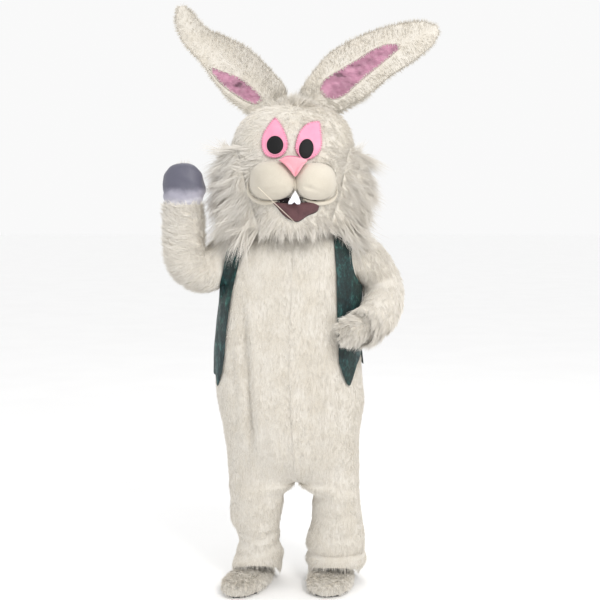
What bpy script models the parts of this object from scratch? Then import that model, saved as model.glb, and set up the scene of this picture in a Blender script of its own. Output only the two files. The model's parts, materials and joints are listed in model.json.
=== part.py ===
"""Rabbit mascot costume: a fur walkabout suit with a large head, a velvet vest,
mitts and foot covers, in the pose it is worn in, hollow, with nobody inside.

All sizes are in millimetres. Heights are measured from the floor and are moved
down by NECK at the end, so the origin lies at the base of the neck, where the
wearer's shoulders and neck carry the costume. The front faces -Y, the wearer's
left is +X.
"""

import math

import bpy
import numpy as np

NECK = 1360.0  # height of the neck base, and of the origin, above the floor
FUR = 3.0  # backing of the fur cloth
HEAD_WALL = 6.0  # foam and fur cloth of the head
VELVET = 2.0  # vest cloth
SATIN = 2.0  # mitt cloth
GAP = 0.3  # between pieces at a seam
WAIST = 865  # height of the seam between the suit's top and its trousers
LAP = 6.0  # the right front lies this far over the raised sleeve
VEST_OFF = 6.5  # the vest lies this far over the suit, on flattened pile
SOLE = 6.0

SQUARE = 2.3  # exponent of the body's rounded sections
HEAD_SQUARE = 2.15

# height, right side, left side, front, back, middle of the front
BODY = [
    (1392, -97, 97, -88, 86, 0),
    (1380, -112, 112, -97, 94, 0),
    (1368, -146, 146, -105, 101, 0),
    (1352, -182, 182, -114, 108, 0),
    (1334, -207, 205, -123, 116, 0),
    (1300, -238, 234, -142, 130, -3),
    (1262, -250, 243, -157, 141, -6),
    (1224, -258, 247, -166, 148, -8),
    (1186, -264, 248, -172, 152, -10),
    (1150, -268, 247, -177, 155, -12),
    (1081, -276, 245, -184, 160, -15),
    (1000, -288, 243, -192, 164, -18),
    (928, -297, 243, -197, 168, -20),
    (813, -300, 253, -202, 172, -18),
    (698, -293, 263, -203, 174, -14),
    (582, -269, 247, -194, 170, -6),
    (504, -258, 244, -180, 162, 1),
    (426, -255, 245, -160, 148, 6),
    (380, -252, 246, -140, 134, 7),
]

# height at the side seam, height at the crotch seam, share of the body's section
ROWS = [
    (1392, 1392, 1.0),
    (1380, 1380, 1.0),
    (1366, 1366, 1.0),
    (1350, 1350, 1.0),
    (1334, 1334, 1.0),
    (1300, 1300, 1.0),
    (1262, 1262, 1.0),
    (1224, 1224, 1.0),
    (1186, 1186, 1.0),
    (1150, 1150, 1.0),
    (1090, 1090, 1.0),
    (1020, 1020, 1.0),
    (945, 945, 1.0),
    (865, 865, 1.0),
    (785, 785, 1.0),
    (705, 705, 1.0),
    (630, 630, 1.0),
    (560, 556, 1.0),
    (505, 492, 0.95),
    (458, 440, 0.78),
    (420, 408, 0.52),
    (396, 394, 0.25),
    (376, 389, 0.0),
]
ARM_TOP, ARM_BOTTOM, ARM_OPEN = 1334, 1150, 0.33  # armhole, last as a share of a quarter

# height, outer side, inner side, front, back, how far the hem lifts in front
LEG_LEFT = [
    (560, 247, 1, -150, 140, 0),
    (440, 245, 5, -142, 132, 0),
    (376, 245, 8, -134, 126, 0),
    (349, 246, 62, -130, 122, 0),
    (309, 249, 66, -126, 116, 0),
    (255, 255, 66, -120, 108, 0),
    (205, 262, 58, -118, 102, 0),
    (155, 266, 44, -116, 100, 0),
    (115, 266, 48, -121, 100, 8),
    (75, 262, 52, -130, 104, 24),
    (40, 250, 54, -128, 102, 46),
]
LEG_RIGHT = [
    (560, -269, 1, -150, 140, 0),
    (440, -255, 5, -142, 132, 0),
    (376, -252, 6, -134, 126, 0),
    (349, -250, -35, -130, 122, 0),
    (309, -246, -43, -124, 114, 0),
    (255, -248, -52, -116, 106, 0),
    (205, -228, -60, -110, 98, 0),
    (155, -215, -62, -108, 94, 0),
    (115, -221, -49, -114, 97, 8),
    (75, -237, -51, -124, 102, 26),
    (40, -237, -58, -124, 102, 50),
]
LEG_ROWS = (349, 309, 255, 205, 155, 115, 75, 40)

# front or back, x and height of the top, x and height of the foot, half width, depth
FOLDS = [
    (-1, -128, 1120, -165, 470, 34, -13),
    (-1, -66, 1000, -78, 430, 40, 9),
    (-1, 62, 900, 78, 440, 42, -8),
    (-1, 150, 700, 170, 430, 36, 8),
    (1, -90, 1080, -110, 460, 45, -9),
    (1, 70, 1040, 95, 450, 45, 8),
    (1, 0, 800, 0, 480, 50, -7),
]

# x, y, height and radius along the middle of each sleeve
SLEEVE_RIGHT = [
    (-262, -10, 1232, 88),
    (-292, -30, 1212, 83),
    (-325, -56, 1199, 78),
    (-362, -78, 1205, 75),
    (-392, -92, 1232, 74),
    (-406, -98, 1276, 73),
    (-409, -98, 1330, 72),
    (-410, -96, 1386, 71),
    (-411, -95, 1436, 69),
]
SLEEVE_LEFT = [
    (264, 8, 1226, 88),
    (290, 16, 1201, 81),
    (316, 20, 1165, 76),
    (333, 10, 1122, 74),
    (334, -20, 1084, 73),
    (318, -66, 1048, 72),
    (296, -110, 1022, 70),
    (270, -146, 1006, 67),
    (248, -172, 997, 63),
]

# x, y, height, half width along x or upward, half depth, for each ring of a mitt
MITT_RIGHT = [
    (-411, -95, 1412, 57, 50),
    (-411, -95, 1438, 61, 51),
    (-411, -94, 1464, 71, 49),
    (-411, -93, 1505, 74, 45),
    (-412, -92, 1545, 69, 40),
    (-413, -91, 1575, 52, 31),
    (-414, -90, 1588, 30, 19),
    (-414, -90, 1593, 0, 0),
]
MITT_LEFT = [
    (262, -160, 1002, 47, 46),
    (243, -176, 996, 50, 48),
    (222, -190, 990, 50, 47),
    (202, -201, 984, 47, 44),
    (184, -209, 979, 40, 37),
    (170, -214, 975, 26, 24),
    (164, -216, 973, 0, 0),
]
# ring position, direction round the mitt in degrees, reach, for the thumb
THUMB_RIGHT = (3.0, 52, 26)
THUMB_LEFT = (2.4, 118, 16)

# height, reach forward of the ankle, reach back, half width
FOOT = [
    (SOLE + GAP, 232, 76, 82),
    (24, 243, 82, 88),
    (42, 230, 84, 87),
    (52, 182, 83, 77),
    (60, 116, 79, 62),
    (80, 84, 75, 57),
    (116, 70, 72, 57),
    (150, 62, 68, 55),
]
# x and y of the ankle, turn of the toes outward in degrees, width against the table
FOOT_RIGHT = (-147, -2, 20, 0.96)
FOOT_LEFT = (152, 12, 10, 1.06)

# height, right side, left side, front, back
HEAD = [
    (1330, -185, 180, -214, 140),
    (1398, -186, 178, -212, 158),
    (1450, -205, 198, -222, 184),
    (1500, -220, 212, -228, 198),
    (1560, -230, 218, -226, 206),
    (1620, -234, 220, -216, 208),
    (1670, -231, 215, -204, 203),
    (1714, -216, 203, -187, 192),
    (1751, -193, 185, -163, 170),
    (1781, -158, 153, -130, 137),
    (1799, -105, 105, -86, 92),
    (1807, -50, 50, -40, 44),
    (1809, 0, 0, 0, 0),
]
CHIN_DROP = 50  # the rim of the head is this much lower in front

# height, right reach, left reach, front reach of the long cheek fur
FLUFF = [
    (1330, -284, 256, -236),
    (1366, -320, 290, -248),
    (1439, -330, 310, -256),
    (1493, -330, 316, -256),
    (1558, -318, 300, -246),
    (1600, -306, 286, -234),
    (1650, -292, 282, -218),
]
# height, first and last direction from the front in degrees, fullness
CHEEK = [
    (1338, 42, 70, 0.8),
    (1372, 44, 78, 1.0),
    (1430, 48, 92, 1.0),
    (1490, 50, 100, 1.0),
    (1550, 52, 102, 0.95),
    (1605, 56, 102, 0.7),
    (1645, 64, 98, 0.3),
]
CHEEK_ACROSS = (0.12, 0.6, 0.95, 1.0, 0.85, 0.15)

# x, height, half width, half height, depth of the stuffed muzzle pads
PAD_RIGHT = (-81, 1525, 81.5, 69, 70)
PAD_LEFT = (77, 1522, 71.5, 66, 70)
PAD_SQUARE = 2.35

# x and height round each flat piece of the face
PATCH_RIGHT = [
    (-70, 1750), (-53, 1730), (-41, 1708), (-32, 1686), (-26, 1664), (-26, 1642), (-38, 1621),
    (-55, 1609), (-79, 1607), (-102, 1616), (-115, 1638), (-118, 1664), (-114, 1686), (-104, 1708), (-87, 1733),
]
PATCH_LEFT = [
    (88, 1736), (93, 1708), (96, 1677), (95, 1647), (84, 1622), (59, 1603), (32, 1600),
    (12, 1618), (3, 1642), (8, 1669), (15, 1691), (25, 1708), (44, 1727), (66, 1736),
]
EYE_RIGHT = (-70, 1651, 30, 33, 4)  # x, height, half width, half height, tilt
EYE_LEFT = (41, 1637, 26, 36, -10)
MOUTH = [
    (-78, 1450), (-60, 1425), (-35, 1397), (3, 1378), (24, 1384), (46, 1399), (78, 1413),
    (88, 1432), (84, 1450), (60, 1460), (23, 1465), (1, 1470), (-25, 1465), (-54, 1457),
]
LIP = [
    (-62, 1441), (-48, 1420), (-29, 1398), (4, 1383), (20, 1389), (38, 1405), (63, 1414),
    (78, 1426), (75, 1442), (23, 1444), (-25, 1441),
]
TEETH = [
    (2, 1490), (14, 1468), (21, 1449), (19, 1441), (8, 1440), (-1, 1448),
    (-10, 1441), (-22, 1441), (-22, 1449), (-11, 1468),
]
NOSE = [
    (-53, 1594), (-41, 1602), (-25, 1607), (2, 1606), (43, 1595), (31, 1577),
    (18, 1556), (2, 1537), (-15, 1556), (-33, 1577),
]

# x, y, height, half width, half thickness, cupping, along the middle of each ear
EAR_RIGHT = [
    (-64, 14, 1800, 54, 12, 14),
    (-94, 16, 1826, 77, 15, 28),
    (-136, 20, 1862, 84, 15, 36),
    (-186, 24, 1908, 90, 15, 40),
    (-236, 26, 1955, 86, 14, 38),
    (-292, 24, 2003, 68, 13, 30),
    (-346, 18, 2042, 52, 12, 22),
    (-382, 8, 2078, 46, 11, 14),
    (-401, -2, 2114, 38, 9, 9),
    (-413, -8, 2145, 28, 8, 5),
    (-418, -12, 2164, 15, 6, 3),
]
EAR_LEFT = [
    (54, 14, 1802, 52, 12, 14),
    (84, 16, 1830, 74, 15, 28),
    (128, 20, 1866, 90, 15, 38),
    (186, 24, 1912, 102, 15, 44),
    (246, 26, 1954, 99, 15, 42),
    (318, 24, 1998, 88, 14, 36),
    (398, 18, 2034, 76, 13, 28),
    (464, 10, 2062, 58, 11, 18),
    (500, 6, 2077, 42, 9, 11),
    (521, 2, 2086, 22, 7, 6),
]
EAR_LINING_ROWS = {"right": (1, 6), "left": (1, 6)}
LINING_WIDTH = 0.6

# height, angle round the body from the front as a share of a quarter, for the front
# edge of the vest: x of the edge at that height
VEST_EDGE_RIGHT = [(760, -272), (900, -252), (1091, -232), (1201, -208), (1329, -160), (1376, -118)]
VEST_EDGE_LEFT = [(760, 160), (862, 156), (1091, 148), (1201, 146), (1329, 138), (1376, 112)]
# share of the way from the front edge to the side seam, height of the hem there
VEST_HEM_RIGHT = [(0.0, 824), (0.2, 766), (0.45, 800), (1.0, 818)]
VEST_HEM_LEFT = [(0.0, 862), (0.2, 776), (0.55, 866), (1.0, 900)]
VEST_HEM_BACK = 838

WHISKER = [(-128, 1500, -296), (-92, 1466, -306), (-44, 1420, -305), (9, 1370, -296)]


def between(table, height, column):
    """Reads one column of a table of sections at a height."""
    rows = sorted(table)
    return float(np.interp(height, [r[0] for r in rows], [r[column] for r in rows]))


def unit(vector):
    vector = np.asarray(vector, float)
    return vector / max(np.linalg.norm(vector), 1e-9)


def material(name, colour, rough):
    made = bpy.data.materials.new(name)
    made.use_nodes = True
    shader = made.node_tree.nodes["Principled BSDF"]
    shader.inputs["Base Color"].default_value = (*colour, 1)
    shader.inputs["Roughness"].default_value = rough
    shader.inputs["Metallic"].default_value = 0.0
    made.diffuse_color = (*colour, 1)
    return made


def place(name, points, faces, colour, rough=0.9):
    """Makes one closed piece from points in millimetres above the floor."""
    p = np.asarray(points, float)
    volume = 0.0
    for face in faces:
        for k in range(1, len(face) - 1):
            volume += float(np.dot(p[face[0]], np.cross(p[face[k]], p[face[k + 1]])))
    if volume < 0:
        faces = [tuple(reversed(face)) for face in faces]
    mesh = bpy.data.meshes.new(name)
    at = (p - np.array([0, 0, NECK])) / 1000
    mesh.from_pydata([tuple(q) for q in at], [], faces)
    mesh.validate()
    mesh.shade_smooth()
    mesh.set_sharp_from_angle(angle=math.radians(50))
    made = bpy.data.objects.new(name, mesh)
    bpy.context.scene.collection.objects.link(made)
    made.data.materials.append(material(name + "_finish", colour, rough))
    made.parent = bpy.data.objects["costume"]
    return made


class Skin:
    """Points and faces of one closed piece, gathered row by row."""

    def __init__(self):
        self.points, self.faces = [], []

    def row(self, row):
        row = np.asarray(row, float)
        if np.ptp(row, axis=0).max() < 1e-6:
            self.points.append(row[0])
            return [len(self.points) - 1] * len(row)
        first = len(self.points)
        self.points.extend(row)
        return list(range(first, first + len(row)))

    def face(self, *corners):
        kept = []
        for corner in corners:
            if corner not in kept:
                kept.append(corner)
        if len(kept) > 2:
            self.faces.append(tuple(kept))

    def grid(self, rows, wrap, turned=False):
        for a, b in zip(rows, rows[1:]):
            for c in range(len(a) if wrap else len(a) - 1):
                d = (c + 1) % len(a)
                corners = (a[c], a[d], b[d], b[c])
                self.face(*(reversed(corners) if turned else corners))


def wall(name, outer, inner, wrap, colour, rough=0.9):
    """A piece of cloth: its outer and inner faces, joined round every open edge."""
    skin = Skin()
    out = [skin.row(r) for r in outer]
    ins = [skin.row(r) for r in inner]
    skin.grid(out, wrap)
    skin.grid(ins, wrap, turned=True)
    count = len(out[0])
    for c in range(count if wrap else count - 1):
        d = (c + 1) % count
        if len(set(out[0])) > 1:
            skin.face(out[0][d], out[0][c], ins[0][c], ins[0][d])
        if len(set(out[-1])) > 1:
            skin.face(out[-1][c], out[-1][d], ins[-1][d], ins[-1][c])
    if not wrap:
        for r in range(len(out) - 1):
            skin.face(out[r][0], out[r + 1][0], ins[r + 1][0], ins[r][0])
            skin.face(out[r + 1][-1], out[r][-1], ins[r][-1], ins[r + 1][-1])
    return place(name, skin.points, skin.faces, colour, rough)


def stuffed(name, rings, colour, rough=0.9):
    """A closed padded piece through rings, with a point at each end."""
    skin = Skin()
    rings = [np.asarray(r, float) for r in rings]
    ends = [np.repeat(rings[k].mean(axis=0)[None], len(rings[k]), axis=0) for k in (0, -1)]
    rows = [skin.row(r) for r in (ends[0], *rings, ends[1])]
    skin.grid(rows, True)
    return place(name, skin.points, skin.faces, colour, rough)


def normals_of(grids, hands):
    """Outward normals of several sheets whose edges meet, as one smooth surface.

    A hand is 1 or -1, for a sheet whose rows and columns turn the one way or the other.
    """
    keys, places = {}, []
    for grid in grids:
        index = np.empty(grid.shape[:2], int)
        for r in range(grid.shape[0]):
            for c in range(grid.shape[1]):
                index[r, c] = keys.setdefault(tuple(np.round(grid[r, c], 2)), len(keys))
        places.append(index)
    total = np.zeros((len(keys), 3))
    for grid, index, hand in zip(grids, places, hands):
        for r in range(grid.shape[0] - 1):
            for c in range(grid.shape[1] - 1):
                across = hand * np.cross(
                    grid[r + 1, c + 1] - grid[r, c], grid[r, c + 1] - grid[r + 1, c]
                )
                for rr, cc in ((r, c), (r, c + 1), (r + 1, c), (r + 1, c + 1)):
                    total[index[rr, cc]] += across
    length = np.linalg.norm(total, axis=1, keepdims=True)
    total /= np.maximum(length, 1e-9)
    return [total[index] for index in places]


def pull_in(grid, by, sides):
    """Moves the named edges of a sheet into the sheet, for the gap at its seams."""
    grid = grid.copy()
    moves = {
        "first": (grid[:, 0], grid[:, 1]),
        "last": (grid[:, -1], grid[:, -2]),
    }
    for side in sides:
        edge, beside = moves[side]
        way = beside - edge
        size = np.linalg.norm(way, axis=1, keepdims=True)
        edge += by * way / np.maximum(size, 1e-9)
    return grid


# ---------------------------------------------------------------- the body suit


def body_point(height, side, face, share, out=0.0):
    """A point of the body: share runs from the middle of the front or back to the side."""
    mid = between(BODY, height, 5)
    wide = (between(BODY, height, 2) - mid) if side > 0 else (mid - between(BODY, height, 1))
    deep = -between(BODY, height, 3) if face < 0 else between(BODY, height, 4)
    turn = share * math.pi / 2
    return np.array([
        mid + side * (wide + out) * math.sin(turn) ** (2 / SQUARE),
        face * (deep + out) * max(math.cos(turn), 0.0) ** (2 / SQUARE),
        height,
    ])


def leg_point(height, side, face, share):
    table = LEG_LEFT if side > 0 else LEG_RIGHT
    outer, inner = between(table, height, 1), between(table, height, 2)
    deep = -between(table, height, 3) if face < 0 else between(table, height, 4)
    turn = share * math.pi
    lift = between(table, height, 5) * (math.sin(turn) if face < 0 else 0)
    return np.array([
        (outer + inner) / 2 - (outer - inner) / 2 * math.cos(turn),
        face * deep * max(math.sin(turn), 0.0) ** (2 / 2.2),
        height + lift,
    ])


def armhole(height):
    """How much of the quarter the armhole takes at a height."""
    half = (ARM_TOP - ARM_BOTTOM) / 2
    off = (height - (ARM_TOP + ARM_BOTTOM) / 2) / half
    return ARM_OPEN * math.sqrt(max(0.0, 1 - off * off))


def folded(point, face):
    """Adds the long soft folds to a point of the suit."""
    point = point.copy()
    for which, x1, h1, x2, h2, half, depth in FOLDS:
        if which != face:
            continue
        along = (h1 - point[2]) / (h1 - h2)
        if not 0 < along < 1:
            continue
        off = (point[0] - (x1 + (x2 - x1) * along)) / half
        fade = min(1, 4 * along, 4 * (1 - along))
        point[1] += face * depth * fade * math.exp(-off * off)
    return point


COLUMNS = 7


def suit_panel(side, face):
    rows = []
    for height, low, whole in ROWS:
        row = []
        for c in range(COLUMNS):
            share = c / (COLUMNS - 1)
            reach = share * (1 - armhole(height)) if whole == 1.0 else share
            body = body_point(height, side, face, reach)
            if whole < 1.0:
                point = whole * body + (1 - whole) * leg_point(height, side, face, share)
            else:
                point = body
            point[2] = height + (low - height) * (1 - share) ** 2
            if c == 0:  # the middle and crotch seams lie in one upright plane
                point[0] = between(BODY, height, 5)
            row.append(point if c in (0, COLUMNS - 1) or height > 1150 else folded(point, face))
        rows.append(row)
    for height in LEG_ROWS:
        rows.append([leg_point(height, side, face, c / (COLUMNS - 1)) for c in range(COLUMNS)])
    return np.array(rows)


def make_suit():
    names = [
        ("suit_front_right", -1, -1),
        ("suit_front_left", 1, -1),
        ("suit_back_right", -1, 1),
        ("suit_back_left", 1, 1),
    ]
    grids = [suit_panel(side, face) for _, side, face in names]
    normals = normals_of(grids, [-side * face for _, side, face in names])
    waist = [height for height, _, _ in ROWS].index(WAIST)
    panels = {}
    for (name, side, face), grid, normal in zip(names, grids, normals):
        inner = grid - FUR * normal
        outer, inner = (pull_in(g, GAP / 2 + 0.05, ("first", "last")) for g in (grid, inner))
        panels[side, face] = (outer, inner)
        above, above_in = outer[: waist + 1].copy(), inner[: waist + 1].copy()
        below, below_in = outer[waist:].copy(), inner[waist:].copy()
        above[-1, :, 2] += GAP / 2  # the seam at the waist
        above_in[-1, :, 2] += GAP / 2
        below[0, :, 2] -= GAP / 2 + 0.05
        below_in[0, :, 2] -= GAP / 2 + 0.05
        wall(name, above, above_in, False, (0.86, 0.83, 0.77))
        wall(name.replace("suit", "trousers"), below, below_in, False, (0.86, 0.83, 0.77))
    return panels


def clear_of_body(point, margin):
    """Presses a point out of the body and the vest that lies on it."""
    height = point[2]
    if height > 1392:
        return point
    mid = between(BODY, height, 5)
    wide = (between(BODY, height, 2) - mid) if point[0] > mid else (mid - between(BODY, height, 1))
    deep = -between(BODY, height, 3) if point[1] < 0 else between(BODY, height, 4)
    size = (
        (abs(point[0] - mid) / (wide + margin)) ** SQUARE
        + (abs(point[1]) / (deep + margin)) ** SQUARE
    ) ** (1 / SQUARE)
    if size >= 1:
        return point
    return np.array([mid + (point[0] - mid) / size, point[1] / size, height])


# -------------------------------------------------------------------- sleeves


def tube_frames(path, first):
    """Directions along a path, each turned as little as it can from the last."""
    path = np.asarray(path, float)
    along = [unit(path[min(k + 1, len(path) - 1)] - path[max(k - 1, 0)]) for k in range(len(path))]
    up = np.asarray(first, float)
    frames = []
    for way in along:
        up = unit(up - np.dot(up, way) * way)
        frames.append((way, up, np.cross(way, up)))
    return frames


def make_sleeve(name, side, panels, table, margin):
    first = ARM_TOP, ARM_BOTTOM
    rows = [k for k, row in enumerate(ROWS) if first[1] <= row[0] <= first[0]]
    front, back = panels[side, -1][0], panels[side, 1][0]
    loop = [(front[rows[0], -1] + back[rows[0], -1]) / 2]
    loop += [front[k, -1] for k in rows[1:-1]]
    loop += [(front[rows[-1], -1] + back[rows[-1], -1]) / 2]
    loop += [back[k, -1] for k in reversed(rows[1:-1])]
    loop = np.array(loop)
    centre = loop.mean(axis=0)
    path = np.array([centre] + [row[:3] for row in table], float)
    radii = [np.linalg.norm(loop - centre, axis=1).mean()] + [row[3] for row in table]
    frames = tube_frames(path, (0, 0, 1))
    way, up, across = frames[0]
    way = unit([side, 0, -0.12])
    up = unit(np.array([0, 0, 1]) - np.dot([0, 0, 1], way) * way)
    across = np.cross(way, up)
    offset = loop - centre
    turn = np.unwrap(np.arctan2(offset @ across, offset @ up))
    even = turn[0] + np.linspace(0, 2 * math.pi, len(loop), endpoint=False) * np.sign(turn[3] - turn[0])
    flat = np.hypot(offset @ across, offset @ up)
    rise = offset @ way
    # The first ring stands just off the armhole, the next ones lose its shape.
    outer = [loop + 0.6 * way + 0.2 * np.array([0, 0, 1.0]) * (loop[:, 2:3] > centre[2])]
    fades = [0.62, 0.34, 0.14, 0.04] + [0.0] * len(table)
    for k, row in enumerate(table):
        way_k, up_k, across_k = frames[k + 1]
        fade = fades[k]
        ring = []
        for i in range(len(loop)):
            angle = even[i] + (turn[i] - even[i]) * fade
            radius = radii[k + 1] * (1 + (flat[i] / flat.mean() - 1) * fade)
            point = path[k + 1] + radius * (math.cos(angle) * up_k + math.sin(angle) * across_k)
            point = point + rise[i] * fade * way_k
            ring.append(clear_of_body(point, margin))
        outer.append(np.array(ring))
    outer = np.array(outer)
    inner = []
    for k, ring in enumerate(outer):
        mid = ring.mean(axis=0)
        way_k = frames[k][0] if k else way
        inward = mid - ring
        inward -= (inward @ way_k)[:, None] * way_k
        inner.append(ring + FUR * inward / np.linalg.norm(inward, axis=1, keepdims=True))
    wall(name, outer, np.array(inner), True, (0.86, 0.83, 0.77))


# ---------------------------------------------------------------------- mitts


def make_mitt(name, table, first, thumb, margin):
    path = np.array([row[:3] for row in table], float)
    frames = tube_frames(path, first)
    count = 12
    outer, inner = [], []
    for k, row in enumerate(table):
        _, up, across = frames[k]
        ring, inside = [], []
        for i in range(count):
            turn = 2 * math.pi * i / count
            wide, deep = row[3], row[4]
            reach = thumb[2] * math.exp(
                -((k - thumb[0]) / 1.1) ** 2
                - ((math.degrees(turn) - thumb[1] + 180) % 360 - 180) ** 2 / 34**2
            ) if wide else 0
            size = np.array([math.cos(turn) * wide, math.sin(turn) * deep])
            length = max(np.hypot(*size), 1e-9)
            for store, less in ((ring, 0.0), (inside, SATIN)):
                scale = max(length + reach - less, 0.0) / length if wide else 0
                point = path[k] + scale * (size[0] * up + size[1] * across)
                if not wide and less:
                    point = point - frames[k][0] * SATIN
                store.append(clear_of_body(point, margin + (SATIN if less and not wide else 0)))
        outer.append(ring)
        inner.append(inside)
    outer, inner = np.array(outer), np.array(inner)
    inner[:-1] = [
        ring + SATIN * (ring.mean(axis=0) - ring)
        / np.linalg.norm(ring.mean(axis=0) - ring, axis=1, keepdims=True)
        for ring in outer[:-1]
    ]
    wall(name, outer, inner, True, (0.80, 0.78, 0.84), 0.45)


# ----------------------------------------------------------------------- feet


def foot_ring(foot, front, back, half, height, less=0.0):
    x, y, turn, width = foot
    turn = math.radians(turn)
    points = []
    for i in range(14):
        angle = 2 * math.pi * i / 14
        ahead = math.cos(angle)
        long = (front if ahead > 0 else back) - less
        f = long * math.copysign(abs(ahead) ** 0.86, ahead)
        slim = 0.70 + 0.30 * min(max(f / 130, 0), 1)  # the heel is narrower than the toes
        s = (half * width * slim - less) * math.copysign(abs(math.sin(angle)) ** 0.86, math.sin(angle))
        points.append((
            x - f * math.sin(turn) + s * math.cos(turn),
            y - f * math.cos(turn) - s * math.sin(turn),
            height,
        ))
    return np.array(points)


def make_foot(side, foot):
    outer = [foot_ring(foot, f, b, w, h) for h, f, b, w in FOOT]
    inner = [foot_ring(foot, f, b, w, h, FUR) for h, f, b, w in FOOT]
    inner[0][:, 2] += 0.0
    # The turned-in bottom edge of the upper lies on the sole.
    turned = foot_ring(foot, *FOOT[0][1:], FOOT[0][0], 22)
    turned_in = turned.copy()
    turned_in[:, 2] += FUR
    inner[0][:, 2] += FUR
    wall("foot_" + side, [turned, *outer], [turned_in, *inner], True, (0.80, 0.78, 0.75))
    sole = foot_ring(foot, FOOT[0][1] - 2, FOOT[0][2] - 2, FOOT[0][3] - 2, 0)
    top = sole + np.array([0, 0, SOLE])
    skin = Skin()
    low, high = skin.row(sole), skin.row(top)
    skin.grid([low, high], True)
    skin.faces.append(tuple(reversed(low)))
    skin.faces.append(tuple(high))
    place("sole_" + side, skin.points, skin.faces, (0.30, 0.30, 0.31), 0.8)


# ----------------------------------------------------------------------- head


def head_point(height, degrees, out=0.0):
    """A point of the head: 0 degrees is the front, 90 the wearer's left."""
    turn = math.radians(degrees)
    s, c = math.sin(turn), math.cos(turn)
    wide = between(HEAD, height, 2) if s > 0 else -between(HEAD, height, 1)
    deep = -between(HEAD, height, 3) if c > 0 else between(HEAD, height, 4)
    return np.array([
        math.copysign((wide + out) * abs(s) ** (2 / HEAD_SQUARE), s) if wide else 0.0,
        -math.copysign((deep + out) * abs(c) ** (2 / HEAD_SQUARE), c) if deep else 0.0,
        height,
    ])


def face_y(x, height):
    """How far back the front of the head is at a place on the face."""
    wide = between(HEAD, height, 2) if x > 0 else -between(HEAD, height, 1)
    deep = -between(HEAD, height, 3)
    return -deep * max(1 - (abs(x) / wide) ** HEAD_SQUARE, 0.02) ** (1 / HEAD_SQUARE)


def pad_rise(pad, x, height):
    cx, ch, wide, tall, depth = pad
    off = (abs(x - cx) / wide) ** PAD_SQUARE + (abs(height - ch) / tall) ** PAD_SQUARE
    return depth * math.sqrt(1 - off) if off < 1 else 0.0


def front_y(x, height):
    """The foremost face of the head and of the muzzle pads."""
    rise = max(pad_rise(PAD_RIGHT, x, height), pad_rise(PAD_LEFT, x, height))
    return face_y(x, height) - (rise + 8 if rise else 0)


def near_front_y(x, height, around=9):
    """The foremost face of the head and pads close to a place."""
    return min(
        front_y(x + u * around, height + v * around) for u in (-1, 0, 1) for v in (-1, 0, 1)
    )


def make_head():
    heights = [1398, 1440, 1490, 1545, 1605, 1665, 1714, 1751, 1781, 1799, 1809]
    for name, first in (("head_front", -90), ("head_back", 90)):
        outer, inner = [], []
        for k, height in enumerate(heights):
            row_out, row_in = [], []
            for i in range(11):
                degrees = first + 18 * i
                drop = CHIN_DROP * max(math.cos(math.radians(degrees)), 0) ** 1.5
                h = height - drop * max(0, 1 - k / 4)
                point = head_point(h, degrees)
                centre = np.array([0, 0, min(max(h, 1500), 1640)])
                row_out.append(point)
                row_in.append(point + HEAD_WALL * unit(centre - point) * (1.0 if k else np.array([1, 1, 0])))
            outer.append(row_out)
            inner.append(row_in)
        outer, inner = np.array(outer), np.array(inner)
        sign = -1 if name == "head_front" else 1
        for grid in (outer, inner):
            grid[:, [0, -1], 1] += sign * (GAP / 2 + 0.05)
            grid[-1, :, 1] = sign * 0.2  # the crown seam crosses the top
        wall(name, outer, inner, False, (0.87, 0.84, 0.78))


def make_cheek(side, sign):
    outer, inner = [], []
    for height, first, last, full in CHEEK:
        row_out, row_in = [], []
        for c, across in enumerate(CHEEK_ACROSS):
            degrees = sign * (first + (last - first) * c / (len(CHEEK_ACROSS) - 1))
            near = head_point(height, degrees, 5.5)
            turn = math.radians(degrees)
            s, k = math.sin(turn), math.cos(turn)
            wide = abs(between(FLUFF, height, 2 if sign > 0 else 1))
            deep = -between(FLUFF, height, 3)
            far = np.array([
                sign * wide * abs(s) ** (2 / 2.4),
                -math.copysign(deep * abs(k) ** (2 / 2.4), k),
                height,
            ])
            out = unit((near - head_point(height, degrees, -20)))
            row_in.append(near)
            row_out.append(near + 4 * out + (far - near) * across * full)
        outer.append(row_out)
        inner.append(row_in)
    wall("cheek_" + side, np.array(outer), np.array(inner), False, (0.88, 0.85, 0.80))


def face_piece(name, outline, back, front, rings, colour, rough=0.9, crown=0.0):
    """A flat or crowned piece on the face, from its outline to its middle."""
    outline = np.array(outline, float)
    middle = outline.mean(axis=0)
    outer, inner = [], []
    for k in range(rings + 1):
        share = k / rings
        rise = crown * math.sqrt(max(0.0, 1 - share**2.2))
        row_out, row_in = [], []
        for x, h in middle + (outline - middle) * share:
            row_in.append((x, back(x, h), h))
            row_out.append((x, front(x, h) - rise, h))
        outer.append(row_out)
        inner.append(row_in)
    wall(name, np.array(outer), np.array(inner), True, colour, rough)


def round_outline(x, height, wide, tall, tilt, count=14, square=2.0):
    tilt = math.radians(tilt)
    points = []
    for i in range(count):
        turn = 2 * math.pi * i / count
        u = wide * math.copysign(abs(math.cos(turn)) ** (2 / square), math.cos(turn))
        v = tall * math.copysign(abs(math.sin(turn)) ** (2 / square), math.sin(turn))
        points.append((x + u * math.cos(tilt) - v * math.sin(tilt), height + u * math.sin(tilt) + v * math.cos(tilt)))
    return points


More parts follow.
